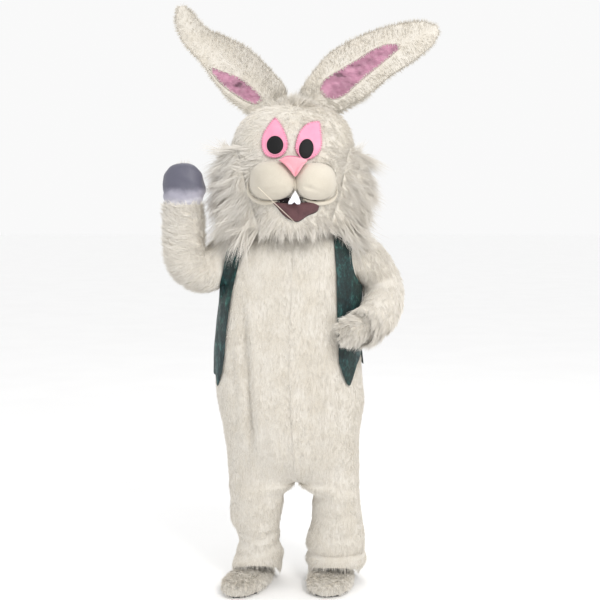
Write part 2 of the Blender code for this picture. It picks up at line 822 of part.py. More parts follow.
def make_face():
    pink, dark = (0.93, 0.45, 0.62), (0.015, 0.015, 0.016)
    for side, patch, eye in (("right", PATCH_RIGHT, EYE_RIGHT), ("left", PATCH_LEFT, EYE_LEFT)):
        face_piece("eye_patch_" + side, patch, lambda x, h: face_y(x, h) - 3.5,
                   lambda x, h: face_y(x, h) - 9, 2, pink)
        face_piece("eye_" + side, round_outline(*eye, count=12), lambda x, h: face_y(x, h) - 9.5,
                   lambda x, h: face_y(x, h) - 11.5, 2, dark, 0.6, crown=3)
    for side, pad in (("right", PAD_RIGHT), ("left", PAD_LEFT)):
        outline = round_outline(*pad[:4], 0, 16, PAD_SQUARE)
        face_piece("muzzle_" + side, outline, lambda x, h: face_y(x, h) - 6.5,
                   lambda x, h: face_y(x, h) - 9.5, 5, (0.80, 0.74, 0.62), 0.9, crown=pad[4])
    face_piece("mouth_lining", MOUTH, lambda x, h: face_y(x, h) - 2.6,
               lambda x, h: face_y(x, h) - 4.4, 2, (0.03, 0.02, 0.02))
    face_piece("lower_lip", LIP, lambda x, h: face_y(x, h) - 7.5,
               lambda x, h: face_y(x, h) - 9.5, 2, (0.28, 0.14, 0.15), crown=9)
    face_piece("nose", NOSE, lambda x, h: min(near_front_y(x, h) - 3, face_y(x, h) - 12),
               lambda x, h: min(near_front_y(x, h), -262) - 8, 3, (0.95, 0.42, 0.50), crown=20)
    top, low = TEETH[0][1], 1435
    face_piece("teeth", TEETH,
               lambda x, h: min(near_front_y(x, h, 3) - 1.5, -240 - 22 * min(1, (top - h) / (top - low) * 1.3)),
               lambda x, h: min(near_front_y(x, h, 3) - 5.0, -266), 2, (0.85, 0.85, 0.93))


def dome_height(x, y):
    """Height of the head's outside over a place seen from above."""
    best = 1809.0
    for height in np.arange(1700, 1809, 2.0):
        wide = between(HEAD, height, 2) if x > 0 else -between(HEAD, height, 1)
        deep = -between(HEAD, height, 3) if y < 0 else between(HEAD, height, 4)
        if (abs(x) / wide) ** HEAD_SQUARE + (abs(y) / deep) ** HEAD_SQUARE >= 1:
            return float(height)
        best = height
    return best + 2


def ear_frames(table):
    path = np.array([row[:3] for row in table], float)
    frames = []
    for k in range(len(path)):
        along = unit(path[min(k + 1, len(path) - 1)] - path[max(k - 1, 0)])
        face = unit(np.array([0, -1, 0]) - np.dot([0, -1, 0], along) * along)
        frames.append((path[k], np.cross(along, face), face))
    return frames


def make_ear(side, table):
    rings = []
    for (centre, across, face), row in zip(ear_frames(table), table):
        wide, thick, cup = row[3:]
        ring = []
        for i in range(12):
            turn = 2 * math.pi * i / 12
            u, v = math.cos(turn), math.sin(turn)
            point = centre + wide * u * across + (cup * u * u + thick * v) * face
            floor = dome_height(point[0], point[1]) + 2.6
            if point[2] < floor:
                point[2] = floor
            ring.append(point)
        rings.append(ring)
    stuffed("ear_" + side, rings, (0.87, 0.84, 0.78))
    first, last = EAR_LINING_ROWS[side]
    outer, inner = [], []
    frames = ear_frames(table)
    for k in range(first, last + 1):
        centre, across, face = frames[k]
        wide, thick, cup = table[k][3:]
        narrow = (0.55, 1.0, 1.0, 1.0, 0.85, 0.35)[k - first]
        row_out, row_in = [], []
        for i in range(7):
            s = LINING_WIDTH * narrow * (i / 3 - 1)
            base = centre + wide * s * across
            turns = np.linspace(math.pi, 0, 7)  # the flat facets of the ear's front
            rise = np.interp(s, np.cos(turns), cup * np.cos(turns) ** 2 + thick * np.sin(turns))
            row_in.append(base + (rise + 2.0) * face)
            row_out.append(base + (rise + 4.0) * face)
        outer.append(row_out)
        inner.append(row_in)
    wall("ear_lining_" + side, np.array(outer), np.array(inner), False, (0.78, 0.38, 0.55), 0.6)


def make_whisker():
    path = np.array([(x, y, h) for x, h, y in WHISKER], float)
    frames = tube_frames(path, (0, -1, 0))
    rings = []
    for k, (point, (_, up, across)) in enumerate(zip(path, frames)):
        radius = 1.1 - 0.15 * k
        rings.append([
            point + radius * (math.cos(t) * up + math.sin(t) * across)
            for t in np.linspace(0, 2 * math.pi, 6, endpoint=False)
        ])
    stuffed("whisker", rings, (0.85, 0.80, 0.70), 0.5)


# ----------------------------------------------------------------------- vest


def share_at(height, side, x):
    """The share of the quarter at which the front of the body has this x."""
    mid = between(BODY, height, 5)
    wide = (between(BODY, height, 2) - mid) if side > 0 else (mid - between(BODY, height, 1))
    sine = min(max(side * (x - mid) / wide, 0.02), 0.999) ** (SQUARE / 2)
    return math.asin(sine) / (math.pi / 2)


def vest_armhole(height):
    half = (ARM_TOP - ARM_BOTTOM) / 2 + 14
    off = (height - (ARM_TOP + ARM_BOTTOM) / 2 + 3) / half
    return (ARM_OPEN + 0.07) * math.sqrt(max(0.0, 1 - off * off))


VEST_TOP = (1133, 1150, 1186, 1224, 1262, 1300, 1320, 1334, 1344, 1352, 1364, 1375)


def make_vest_front(side_name, side, edge, hem):
    below = [0.0, 0.2, 0.45, 0.72]
    grid = []
    for t in below + list(VEST_TOP):
        row = []
        for across in (0.0, 0.2, 0.45, 0.72, 1.0):
            if t < 1.5:
                low = float(np.interp(across, [r[0] for r in hem], [r[1] for r in hem]))
                height = low + (VEST_TOP[0] - low) * t
                end = 1.0
            else:
                height, end = t, 1 - vest_armhole(t) * (0.42 if side < 0 else 1.0)
            x = float(np.interp(height, [r[0] for r in edge], [r[1] for r in edge]))
            start = min(share_at(height, side, x), end - 0.05)
            row.append((height, start + (end - start) * across))
        grid.append(row)
    make_vest_piece("vest_front_" + side_name, side, -1, grid, ("last",))


def lapped(point, side, face, out):
    """Brings the right front of the vest over the root of the raised sleeve."""
    if side > 0 or face > 0:
        return point
    x, y, height = point
    table = np.array(SLEEVE_RIGHT, float)[:5]
    _, centre, middle, radius = (float(np.interp(-x, -table[:, 0], table[:, k])) for k in range(4))
    drop, reach = height - middle, radius + 22
    if abs(drop) >= reach:
        return point
    front = centre - math.sqrt(reach**2 - drop**2) + 12 - LAP - out
    share = min(1.0, max(0.0, (-x - 215) / 34))
    return np.array([x, y + share * min(0.0, front - y), height])


def make_vest_piece(name, side, face, grid, seams):
    outer, inner = (
        np.array([
            [lapped(folded(body_point(h, side, face, s, out), face), side, face, out) for h, s in row]
            for row in grid
        ])
        for out in (VEST_OFF + VELVET, VEST_OFF)
    )
    outer, inner = (pull_in(g, GAP / 2 + 0.1, seams) for g in (outer, inner))
    for g in (outer, inner):
        g[:, -1, 1] += face * 0.15
    wall(name, outer, inner, False, (0.03, 0.13, 0.13), 0.5)


def make_vest_back():
    below = [0.0, 0.3, 0.65]
    columns = 7
    outer, inner = [], []
    for t in below + list(VEST_TOP):
        if t < 1.5:
            height, end = VEST_HEM_BACK + (VEST_TOP[0] - VEST_HEM_BACK) * t, 1.0
        else:
            height, end = t, 1 - vest_armhole(t)
        for store, out in ((outer, VEST_OFF + VELVET), (inner, VEST_OFF)):
            row = []
            for side in (-1, 1):
                half = []
                for c in range(columns):
                    share = end * c / (columns - 1)
                    point = folded(body_point(height, side, 1, share, out), 1)
                    point[1] += 0.25
                    half.append(point)
                row += list(reversed(half)) if side < 0 else half[1:]
            store.append(row)
    wall("vest_back", np.array(outer), np.array(inner), False, (0.03, 0.13, 0.13), 0.5)


# ------------------------------------------------------------------------ all


def main():
    for thing in list(bpy.data.objects):
        bpy.data.objects.remove(thing, do_unlink=True)
    root = bpy.data.objects.new("costume", None)
    bpy.context.scene.collection.objects.link(root)
    panels = make_suit()
    make_sleeve("sleeve_right", -1, panels, SLEEVE_RIGHT, 12)
    make_sleeve("sleeve_left", 1, panels, SLEEVE_LEFT, 12)
    make_mitt("mitt_right", MITT_RIGHT, (1, 0, 0), THUMB_RIGHT, 12)
    make_mitt("mitt_left", MITT_LEFT, (0, 0, 1), THUMB_LEFT, 13)
    make_foot("right", FOOT_RIGHT)
    make_foot("left", FOOT_LEFT)
    make_head()
    make_cheek("right", -1)
    make_cheek("left", 1)
    make_face()
    make_ear("right", EAR_RIGHT)
    make_ear("left", EAR_LEFT)
    make_whisker()
    make_vest_front("right", -1, VEST_EDGE_RIGHT, VEST_HEM_RIGHT)
    make_vest_front("left", 1, VEST_EDGE_LEFT, VEST_HEM_LEFT)
    make_vest_back()


main()
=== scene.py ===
"""The looks of the rabbit mascot costume: fur, velvet, fleece, felt and satin around
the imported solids, with the camera, the light and the floor.

The shapes are worked out in millimetres above the floor, as in the part, and moved
to the row's frame when a mesh is made.
"""

import json
import math

import bpy
import numpy as np
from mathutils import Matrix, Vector, kdtree

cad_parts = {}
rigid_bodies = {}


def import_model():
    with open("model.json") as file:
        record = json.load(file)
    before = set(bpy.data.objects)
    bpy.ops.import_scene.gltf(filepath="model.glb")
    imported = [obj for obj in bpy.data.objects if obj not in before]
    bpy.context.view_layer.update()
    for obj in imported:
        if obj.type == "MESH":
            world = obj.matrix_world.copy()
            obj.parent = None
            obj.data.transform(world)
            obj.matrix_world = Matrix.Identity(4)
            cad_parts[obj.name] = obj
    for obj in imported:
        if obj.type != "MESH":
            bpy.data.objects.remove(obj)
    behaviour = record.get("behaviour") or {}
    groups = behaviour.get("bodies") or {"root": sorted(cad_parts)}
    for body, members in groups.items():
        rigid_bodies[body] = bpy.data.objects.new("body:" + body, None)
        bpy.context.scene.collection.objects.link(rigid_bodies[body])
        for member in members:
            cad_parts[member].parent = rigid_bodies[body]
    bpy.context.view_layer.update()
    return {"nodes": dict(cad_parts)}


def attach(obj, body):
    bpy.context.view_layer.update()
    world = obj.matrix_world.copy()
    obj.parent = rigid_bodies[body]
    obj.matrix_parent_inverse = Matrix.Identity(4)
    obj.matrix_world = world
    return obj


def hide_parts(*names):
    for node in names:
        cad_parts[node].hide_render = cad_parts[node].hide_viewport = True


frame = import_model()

NECK = 1360.0  # height of the neck base, and of the origin, above the floor
FUR = 3.0  # backing of the fur cloth
HEAD_WALL = 6.0  # foam and fur cloth of the head
VELVET = 2.0  # vest cloth
SATIN = 2.0  # mitt cloth
GAP = 0.3  # between pieces at a seam
LAP = 6.0  # the right front lies this far over the raised sleeve
VEST_OFF = 6.5  # the vest lies this far over the suit, on flattened pile
SOLE = 6.0

SQUARE = 2.3  # exponent of the body's rounded sections
HEAD_SQUARE = 2.15

# height, right side, left side, front, back, middle of the front
BODY = [
    (1392, -97, 97, -88, 86, 0),
    (1380, -112, 112, -97, 94, 0),
    (1368, -146, 146, -105, 101, 0),
    (1352, -182, 182, -114, 108, 0),
    (1334, -207, 205, -123, 116, 0),
    (1300, -238, 234, -142, 130, -3),
    (1262, -250, 243, -157, 141, -6),
    (1224, -258, 247, -166, 148, -8),
    (1186, -264, 248, -172, 152, -10),
    (1150, -268, 247, -177, 155, -12),
    (1081, -276, 245, -184, 160, -15),
    (1000, -288, 243, -192, 164, -18),
    (928, -297, 243, -197, 168, -20),
    (813, -300, 253, -202, 172, -18),
    (698, -293, 263, -203, 174, -14),
    (582, -269, 247, -194, 170, -6),
    (504, -258, 244, -180, 162, 1),
    (426, -255, 245, -160, 148, 6),
    (380, -252, 246, -140, 134, 7),
]

# height at the side seam, height at the crotch seam, share of the body's section
ROWS = [
    (1392, 1392, 1.0),
    (1380, 1380, 1.0),
    (1366, 1366, 1.0),
    (1350, 1350, 1.0),
    (1334, 1334, 1.0),
    (1300, 1300, 1.0),
    (1262, 1262, 1.0),
    (1224, 1224, 1.0),
    (1186, 1186, 1.0),
    (1150, 1150, 1.0),
    (1090, 1090, 1.0),
    (1020, 1020, 1.0),
    (945, 945, 1.0),
    (865, 865, 1.0),
    (785, 785, 1.0),
    (705, 705, 1.0),
    (630, 630, 1.0),
    (560, 556, 1.0),
    (505, 492, 0.95),
    (458, 440, 0.78),
    (420, 408, 0.52),
    (396, 394, 0.25),
    (376, 389, 0.0),
]
ARM_TOP, ARM_BOTTOM, ARM_OPEN = 1334, 1150, 0.33  # armhole, last as a share of a quarter

# height, outer side, inner side, front, back, how far the hem lifts in front
LEG_LEFT = [
    (560, 247, 1, -150, 140, 0),
    (440, 245, 5, -142, 132, 0),
    (376, 245, 8, -134, 126, 0),
    (349, 246, 62, -130, 122, 0),
    (309, 249, 66, -126, 116, 0),
    (255, 255, 66, -120, 108, 0),
    (205, 262, 58, -118, 102, 0),
    (155, 266, 44, -116, 100, 0),
    (115, 266, 48, -121, 100, 8),
    (75, 262, 52, -130, 104, 24),
    (40, 250, 54, -128, 102, 46),
]
LEG_RIGHT = [
    (560, -269, 1, -150, 140, 0),
    (440, -255, 5, -142, 132, 0),
    (376, -252, 6, -134, 126, 0),
    (349, -250, -35, -130, 122, 0),
    (309, -246, -43, -124, 114, 0),
    (255, -248, -52, -116, 106, 0),
    (205, -228, -60, -110, 98, 0),
    (155, -215, -62, -108, 94, 0),
    (115, -221, -49, -114, 97, 8),
    (75, -237, -51, -124, 102, 26),
    (40, -237, -58, -124, 102, 50),
]
LEG_ROWS = (349, 309, 255, 205, 155, 115, 75, 40)

# front or back, x and height of the top, x and height of the foot, half width, depth
FOLDS = [
    (-1, -128, 1120, -165, 470, 34, -13),
    (-1, -66, 1000, -78, 430, 40, 9),
    (-1, 62, 900, 78, 440, 42, -8),
    (-1, 150, 700, 170, 430, 36, 8),
    (1, -90, 1080, -110, 460, 45, -9),
    (1, 70, 1040, 95, 450, 45, 8),
    (1, 0, 800, 0, 480, 50, -7),
]

# x, y, height and radius along the middle of each sleeve
SLEEVE_RIGHT = [
    (-262, -10, 1232, 88),
    (-292, -30, 1212, 83),
    (-325, -56, 1199, 78),
    (-362, -78, 1205, 75),
    (-392, -92, 1232, 74),
    (-406, -98, 1276, 73),
    (-409, -98, 1330, 72),
    (-410, -96, 1386, 71),
    (-411, -95, 1436, 69),
]
SLEEVE_LEFT = [
    (264, 8, 1226, 88),
    (290, 16, 1201, 81),
    (316, 20, 1165, 76),
    (333, 10, 1122, 74),
    (334, -20, 1084, 73),
    (318, -66, 1048, 72),
    (296, -110, 1022, 70),
    (270, -146, 1006, 67),
    (248, -172, 997, 63),
]

# x, y, height, half width along x or upward, half depth, for each ring of a mitt
MITT_RIGHT = [
    (-411, -95, 1412, 57, 50),
    (-411, -95, 1438, 61, 51),
    (-411, -94, 1464, 71, 49),
    (-411, -93, 1505, 74, 45),
    (-412, -92, 1545, 69, 40),
    (-413, -91, 1575, 52, 31),
    (-414, -90, 1588, 30, 19),
    (-414, -90, 1593, 0, 0),
]
MITT_LEFT = [
    (262, -160, 1002, 47, 46),
    (243, -176, 996, 50, 48),
    (222, -190, 990, 50, 47),
    (202, -201, 984, 47, 44),
    (184, -209, 979, 40, 37),
    (170, -214, 975, 26, 24),
    (164, -216, 973, 0, 0),
]
# ring position, direction round the mitt in degrees, reach, for the thumb
THUMB_RIGHT = (3.0, 52, 26)
THUMB_LEFT = (2.4, 118, 16)

# height, reach forward of the ankle, reach back, half width
FOOT = [
    (SOLE + GAP, 232, 76, 82),
    (24, 243, 82, 88),
    (42, 230, 84, 87),
    (52, 182, 83, 77),
    (60, 116, 79, 62),
    (80, 84, 75, 57),
    (116, 70, 72, 57),
    (150, 62, 68, 55),
]
# x and y of the ankle, turn of the toes outward in degrees, width against the table
FOOT_RIGHT = (-147, -2, 20, 0.96)
FOOT_LEFT = (152, 12, 10, 1.06)

# height, right side, left side, front, back
HEAD = [
    (1330, -185, 180, -214, 140),
    (1398, -186, 178, -212, 158),
    (1450, -205, 198, -222, 184),
    (1500, -220, 212, -228, 198),
    (1560, -230, 218, -226, 206),
    (1620, -234, 220, -216, 208),
    (1670, -231, 215, -204, 203),
    (1714, -216, 203, -187, 192),
    (1751, -193, 185, -163, 170),
    (1781, -158, 153, -130, 137),
    (1799, -105, 105, -86, 92),
    (1807, -50, 50, -40, 44),
    (1809, 0, 0, 0, 0),
]
CHIN_DROP = 50  # the rim of the head is this much lower in front

# height, right reach, left reach, front reach of the long cheek fur
FLUFF = [
    (1330, -284, 256, -236),
    (1366, -320, 290, -248),
    (1439, -330, 310, -256),
    (1493, -330, 316, -256),
    (1558, -318, 300, -246),
    (1600, -306, 286, -234),
    (1650, -292, 282, -218),
]
# height, first and last direction from the front in degrees, fullness
CHEEK = [
    (1338, 42, 70, 0.8),
    (1372, 44, 78, 1.0),
    (1430, 48, 92, 1.0),
    (1490, 50, 100, 1.0),
    (1550, 52, 102, 0.95),
    (1605, 56, 102, 0.7),
    (1645, 64, 98, 0.3),
]
CHEEK_ACROSS = (0.12, 0.6, 0.95, 1.0, 0.85, 0.15)

# x, height, half width, half height, depth of the stuffed muzzle pads
PAD_RIGHT = (-81, 1525, 81.5, 69, 70)
PAD_LEFT = (77, 1522, 71.5, 66, 70)
PAD_SQUARE = 2.35

# x and height round each flat piece of the face
PATCH_RIGHT = [
    (-70, 1750), (-53, 1730), (-41, 1708), (-32, 1686), (-26, 1664), (-26, 1642), (-38, 1621),
    (-55, 1609), (-79, 1607), (-102, 1616), (-115, 1638), (-118, 1664), (-114, 1686), (-104, 1708), (-87, 1733),
]
PATCH_LEFT = [
    (88, 1736), (93, 1708), (96, 1677), (95, 1647), (84, 1622), (59, 1603), (32, 1600),
    (12, 1618), (3, 1642), (8, 1669), (15, 1691), (25, 1708), (44, 1727), (66, 1736),
]
EYE_RIGHT = (-70, 1651, 30, 33, 4)  # x, height, half width, half height, tilt
EYE_LEFT = (41, 1637, 26, 36, -10)
MOUTH = [
    (-78, 1450), (-60, 1425), (-35, 1397), (3, 1378), (24, 1384), (46, 1399), (78, 1413),
    (88, 1432), (84, 1450), (60, 1460), (23, 1465), (1, 1470), (-25, 1465), (-54, 1457),
]
LIP = [
    (-62, 1441), (-48, 1420), (-29, 1398), (4, 1383), (20, 1389), (38, 1405), (63, 1414),
    (78, 1426), (75, 1442), (23, 1444), (-25, 1441),
]
TEETH = [
    (2, 1490), (14, 1468), (21, 1449), (19, 1441), (8, 1440), (-1, 1448),
    (-10, 1441), (-22, 1441), (-22, 1449), (-11, 1468),
]
NOSE = [
    (-53, 1594), (-41, 1602), (-25, 1607), (2, 1606), (43, 1595), (31, 1577),
    (18, 1556), (2, 1537), (-15, 1556), (-33, 1577),
]

# x, y, height, half width, half thickness, cupping, along the middle of each ear
EAR_RIGHT = [
    (-64, 14, 1800, 54, 12, 14),
    (-94, 16, 1826, 77, 15, 28),
    (-136, 20, 1862, 84, 15, 36),
    (-186, 24, 1908, 90, 15, 40),
    (-236, 26, 1955, 86, 14, 38),
    (-292, 24, 2003, 68, 13, 30),
    (-346, 18, 2042, 52, 12, 22),
    (-382, 8, 2078, 46, 11, 14),
    (-401, -2, 2114, 38, 9, 9),
    (-413, -8, 2145, 28, 8, 5),
    (-418, -12, 2164, 15, 6, 3),
]
EAR_LEFT = [
    (54, 14, 1802, 52, 12, 14),
    (84, 16, 1830, 74, 15, 28),
    (128, 20, 1866, 90, 15, 38),
    (186, 24, 1912, 102, 15, 44),
    (246, 26, 1954, 99, 15, 42),
    (318, 24, 1998, 88, 14, 36),
    (398, 18, 2034, 76, 13, 28),
    (464, 10, 2062, 58, 11, 18),
    (500, 6, 2077, 42, 9, 11),
    (521, 2, 2086, 22, 7, 6),
]
EAR_LINING_ROWS = {"right": (1, 6), "left": (1, 6)}
LINING_WIDTH = 0.6

# height, angle round the body from the front as a share of a quarter, for the front
# edge of the vest: x of the edge at that height
VEST_EDGE_RIGHT = [(760, -272), (900, -252), (1091, -232), (1201, -208), (1329, -160), (1376, -118)]
VEST_EDGE_LEFT = [(760, 160), (862, 156), (1091, 148), (1201, 146), (1329, 138), (1376, 112)]
# share of the way from the front edge to the side seam, height of the hem there
VEST_HEM_RIGHT = [(0.0, 824), (0.2, 766), (0.45, 800), (1.0, 818)]
VEST_HEM_LEFT = [(0.0, 862), (0.2, 776), (0.55, 866), (1.0, 900)]
VEST_HEM_BACK = 838

WHISKER = [(-128, 1500, -296), (-92, 1466, -306), (-44, 1420, -305), (9, 1370, -296)]


def between(table, height, column):
    """Reads one column of a table of sections at a height."""
    rows = sorted(table)
    return float(np.interp(height, [r[0] for r in rows], [r[column] for r in rows]))


def unit(vector):
    vector = np.asarray(vector, float)
    return vector / max(np.linalg.norm(vector), 1e-9)


PIECES, RINGS, PLACED = {}, {}, {}


def place(name, points, faces, colour, rough=0.9):
    PLACED[name] = (np.asarray(points, float), faces)


def wall(name, outer, inner, wrap, colour, rough=0.9):
    """Keeps a piece of cloth as two sheets of points, outer and inner."""
    PIECES[name] = (np.asarray(outer, float), np.asarray(inner, float), wrap)


def stuffed(name, rings, colour, rough=0.9):
    RINGS[name] = np.asarray(rings, float)


class Skin:
    """Points and faces of one closed piece, gathered row by row."""

    def __init__(self):
        self.points, self.faces = [], []

    def row(self, row):
        row = np.asarray(row, float)
        if np.ptp(row, axis=0).max() < 1e-6:
            self.points.append(row[0])
            return [len(self.points) - 1] * len(row)
        first = len(self.points)
        self.points.extend(row)
        return list(range(first, first + len(row)))

    def face(self, *corners):
        kept = []
        for corner in corners:
            if corner not in kept:
                kept.append(corner)
        if len(kept) > 2:
            self.faces.append(tuple(kept))

    def grid(self, rows, wrap, turned=False):
        for a, b in zip(rows, rows[1:]):
            for c in range(len(a) if wrap else len(a) - 1):
                d = (c + 1) % len(a)
                corners = (a[c], a[d], b[d], b[c])
                self.face(*(reversed(corners) if turned else corners))


def normals_of(grids, hands):
    """Outward normals of several sheets whose edges meet, as one smooth surface.

    A hand is 1 or -1, for a sheet whose rows and columns turn the one way or the other.
    """
    keys, places = {}, []
    for grid in grids:
        index = np.empty(grid.shape[:2], int)
        for r in range(grid.shape[0]):
            for c in range(grid.shape[1]):
                index[r, c] = keys.setdefault(tuple(np.round(grid[r, c], 2)), len(keys))
        places.append(index)
    total = np.zeros((len(keys), 3))
    for grid, index, hand in zip(grids, places, hands):
        for r in range(grid.shape[0] - 1):
            for c in range(grid.shape[1] - 1):
                across = hand * np.cross(
                    grid[r + 1, c + 1] - grid[r, c], grid[r, c + 1] - grid[r + 1, c]
                )
                for rr, cc in ((r, c), (r, c + 1), (r + 1, c), (r + 1, c + 1)):
                    total[index[rr, cc]] += across
    length = np.linalg.norm(total, axis=1, keepdims=True)
    total /= np.maximum(length, 1e-9)
    return [total[index] for index in places]


def pull_in(grid, by, sides):
    """Moves the named edges of a sheet into the sheet, for the gap at its seams."""
    grid = grid.copy()
    moves = {
        "first": (grid[:, 0], grid[:, 1]),
        "last": (grid[:, -1], grid[:, -2]),
    }
    for side in sides:
        edge, beside = moves[side]
        way = beside - edge
        size = np.linalg.norm(way, axis=1, keepdims=True)
        edge += by * way / np.maximum(size, 1e-9)
    return grid


# ---------------------------------------------------------------- the body suit


def body_point(height, side, face, share, out=0.0):
    """A point of the body: share runs from the middle of the front or back to the side."""
    mid = between(BODY, height, 5)
    wide = (between(BODY, height, 2) - mid) if side > 0 else (mid - between(BODY, height, 1))
    deep = -between(BODY, height, 3) if face < 0 else between(BODY, height, 4)
    turn = share * math.pi / 2
    return np.array([
        mid + side * (wide + out) * math.sin(turn) ** (2 / SQUARE),
        face * (deep + out) * max(math.cos(turn), 0.0) ** (2 / SQUARE),
        height,
    ])


def leg_point(height, side, face, share):
    table = LEG_LEFT if side > 0 else LEG_RIGHT
    outer, inner = between(table, height, 1), between(table, height, 2)
    deep = -between(table, height, 3) if face < 0 else between(table, height, 4)
    turn = share * math.pi
    lift = between(table, height, 5) * (math.sin(turn) if face < 0 else 0)
    return np.array([
        (outer + inner) / 2 - (outer - inner) / 2 * math.cos(turn),
        face * deep * max(math.sin(turn), 0.0) ** (2 / 2.2),
        height + lift,
    ])


def armhole(height):
    """How much of the quarter the armhole takes at a height."""
    half = (ARM_TOP - ARM_BOTTOM) / 2
    off = (height - (ARM_TOP + ARM_BOTTOM) / 2) / half
    return ARM_OPEN * math.sqrt(max(0.0, 1 - off * off))


def folded(point, face):
    """Adds the long soft folds to a point of the suit."""
    point = point.copy()
    for which, x1, h1, x2, h2, half, depth in FOLDS:
        if which != face:
            continue
        along = (h1 - point[2]) / (h1 - h2)
        if not 0 < along < 1:
            continue
        off = (point[0] - (x1 + (x2 - x1) * along)) / half
        fade = min(1, 4 * along, 4 * (1 - along))
        point[1] += face * depth * fade * math.exp(-off * off)
    return point


COLUMNS = 7


def suit_panel(side, face):
    rows = []
    for height, low, whole in ROWS:
        row = []
        for c in range(COLUMNS):
            share = c / (COLUMNS - 1)
            reach = share * (1 - armhole(height)) if whole == 1.0 else share
            body = body_point(height, side, face, reach)
            if whole < 1.0:
                point = whole * body + (1 - whole) * leg_point(height, side, face, share)
            else:
                point = body
            point[2] = height + (low - height) * (1 - share) ** 2
            if c == 0:  # the middle and crotch seams lie in one upright plane
                point[0] = between(BODY, height, 5)
            row.append(point if c in (0, COLUMNS - 1) or height > 1150 else folded(point, face))
        rows.append(row)
    for height in LEG_ROWS:
        rows.append([leg_point(height, side, face, c / (COLUMNS - 1)) for c in range(COLUMNS)])
    return np.array(rows)


def make_suit():
    names = [
        ("suit_front_right", -1, -1),
        ("suit_front_left", 1, -1),
        ("suit_back_right", -1, 1),
        ("suit_back_left", 1, 1),
    ]
    grids = [suit_panel(side, face) for _, side, face in names]
    normals = normals_of(grids, [-side * face for _, side, face in names])
    panels = {}
    for (name, side, face), grid, normal in zip(names, grids, normals):
        inner = grid - FUR * normal
        outer, inner = (pull_in(g, GAP / 2 + 0.05, ("first", "last")) for g in (grid, inner))
        panels[side, face] = (outer, inner)
        wall(name, outer, inner, False, (0.86, 0.83, 0.77))
    return panels


def clear_of_body(point, margin):
    """Presses a point out of the body and the vest that lies on it."""
    height = point[2]
    if height > 1392:
        return point
    mid = between(BODY, height, 5)
    wide = (between(BODY, height, 2) - mid) if point[0] > mid else (mid - between(BODY, height, 1))
    deep = -between(BODY, height, 3) if point[1] < 0 else between(BODY, height, 4)
    size = (
        (abs(point[0] - mid) / (wide + margin)) ** SQUARE
        + (abs(point[1]) / (deep + margin)) ** SQUARE
    ) ** (1 / SQUARE)
    if size >= 1:
        return point
    return np.array([mid + (point[0] - mid) / size, point[1] / size, height])


# -------------------------------------------------------------------- sleeves


def tube_frames(path, first):
    """Directions along a path, each turned as little as it can from the last."""
    path = np.asarray(path, float)
    along = [unit(path[min(k + 1, len(path) - 1)] - path[max(k - 1, 0)]) for k in range(len(path))]
    up = np.asarray(first, float)
    frames = []
    for way in along:
        up = unit(up - np.dot(up, way) * way)
        frames.append((way, up, np.cross(way, up)))
    return frames


def make_sleeve(name, side, panels, table, margin):
    first = ARM_TOP, ARM_BOTTOM
    rows = [k for k, row in enumerate(ROWS) if first[1] <= row[0] <= first[0]]
    front, back = panels[side, -1][0], panels[side, 1][0]
    loop = [(front[rows[0], -1] + back[rows[0], -1]) / 2]
    loop += [front[k, -1] for k in rows[1:-1]]
    loop += [(front[rows[-1], -1] + back[rows[-1], -1]) / 2]
    loop += [back[k, -1] for k in reversed(rows[1:-1])]
    loop = np.array(loop)
    centre = loop.mean(axis=0)
    path = np.array([centre] + [row[:3] for row in table], float)
    radii = [np.linalg.norm(loop - centre, axis=1).mean()] + [row[3] for row in table]
    frames = tube_frames(path, (0, 0, 1))
    way, up, across = frames[0]
    way = unit([side, 0, -0.12])
    up = unit(np.array([0, 0, 1]) - np.dot([0, 0, 1], way) * way)
    across = np.cross(way, up)
    offset = loop - centre
    turn = np.unwrap(np.arctan2(offset @ across, offset @ up))
    even = turn[0] + np.linspace(0, 2 * math.pi, len(loop), endpoint=False) * np.sign(turn[3] - turn[0])
    flat = np.hypot(offset @ across, offset @ up)
    rise = offset @ way
    # The first ring stands just off the armhole, the next ones lose its shape.
    outer = [loop + 0.6 * way + 0.2 * np.array([0, 0, 1.0]) * (loop[:, 2:3] > centre[2])]
    fades = [0.62, 0.34, 0.14, 0.04] + [0.0] * len(table)
    for k, row in enumerate(table):
        way_k, up_k, across_k = frames[k + 1]
        fade = fades[k]
        ring = []
        for i in range(len(loop)):
            angle = even[i] + (turn[i] - even[i]) * fade
            radius = radii[k + 1] * (1 + (flat[i] / flat.mean() - 1) * fade)
            point = path[k + 1] + radius * (math.cos(angle) * up_k + math.sin(angle) * across_k)
            point = point + rise[i] * fade * way_k
            ring.append(clear_of_body(point, margin))
        outer.append(np.array(ring))
    outer = np.array(outer)
    inner = []
    for k, ring in enumerate(outer):
        mid = ring.mean(axis=0)
        way_k = frames[k][0] if k else way
        inward = mid - ring
        inward -= (inward @ way_k)[:, None] * way_k
        inner.append(ring + FUR * inward / np.linalg.norm(inward, axis=1, keepdims=True))
    wall(name, outer, np.array(inner), True, (0.86, 0.83, 0.77))


# ---------------------------------------------------------------------- mitts


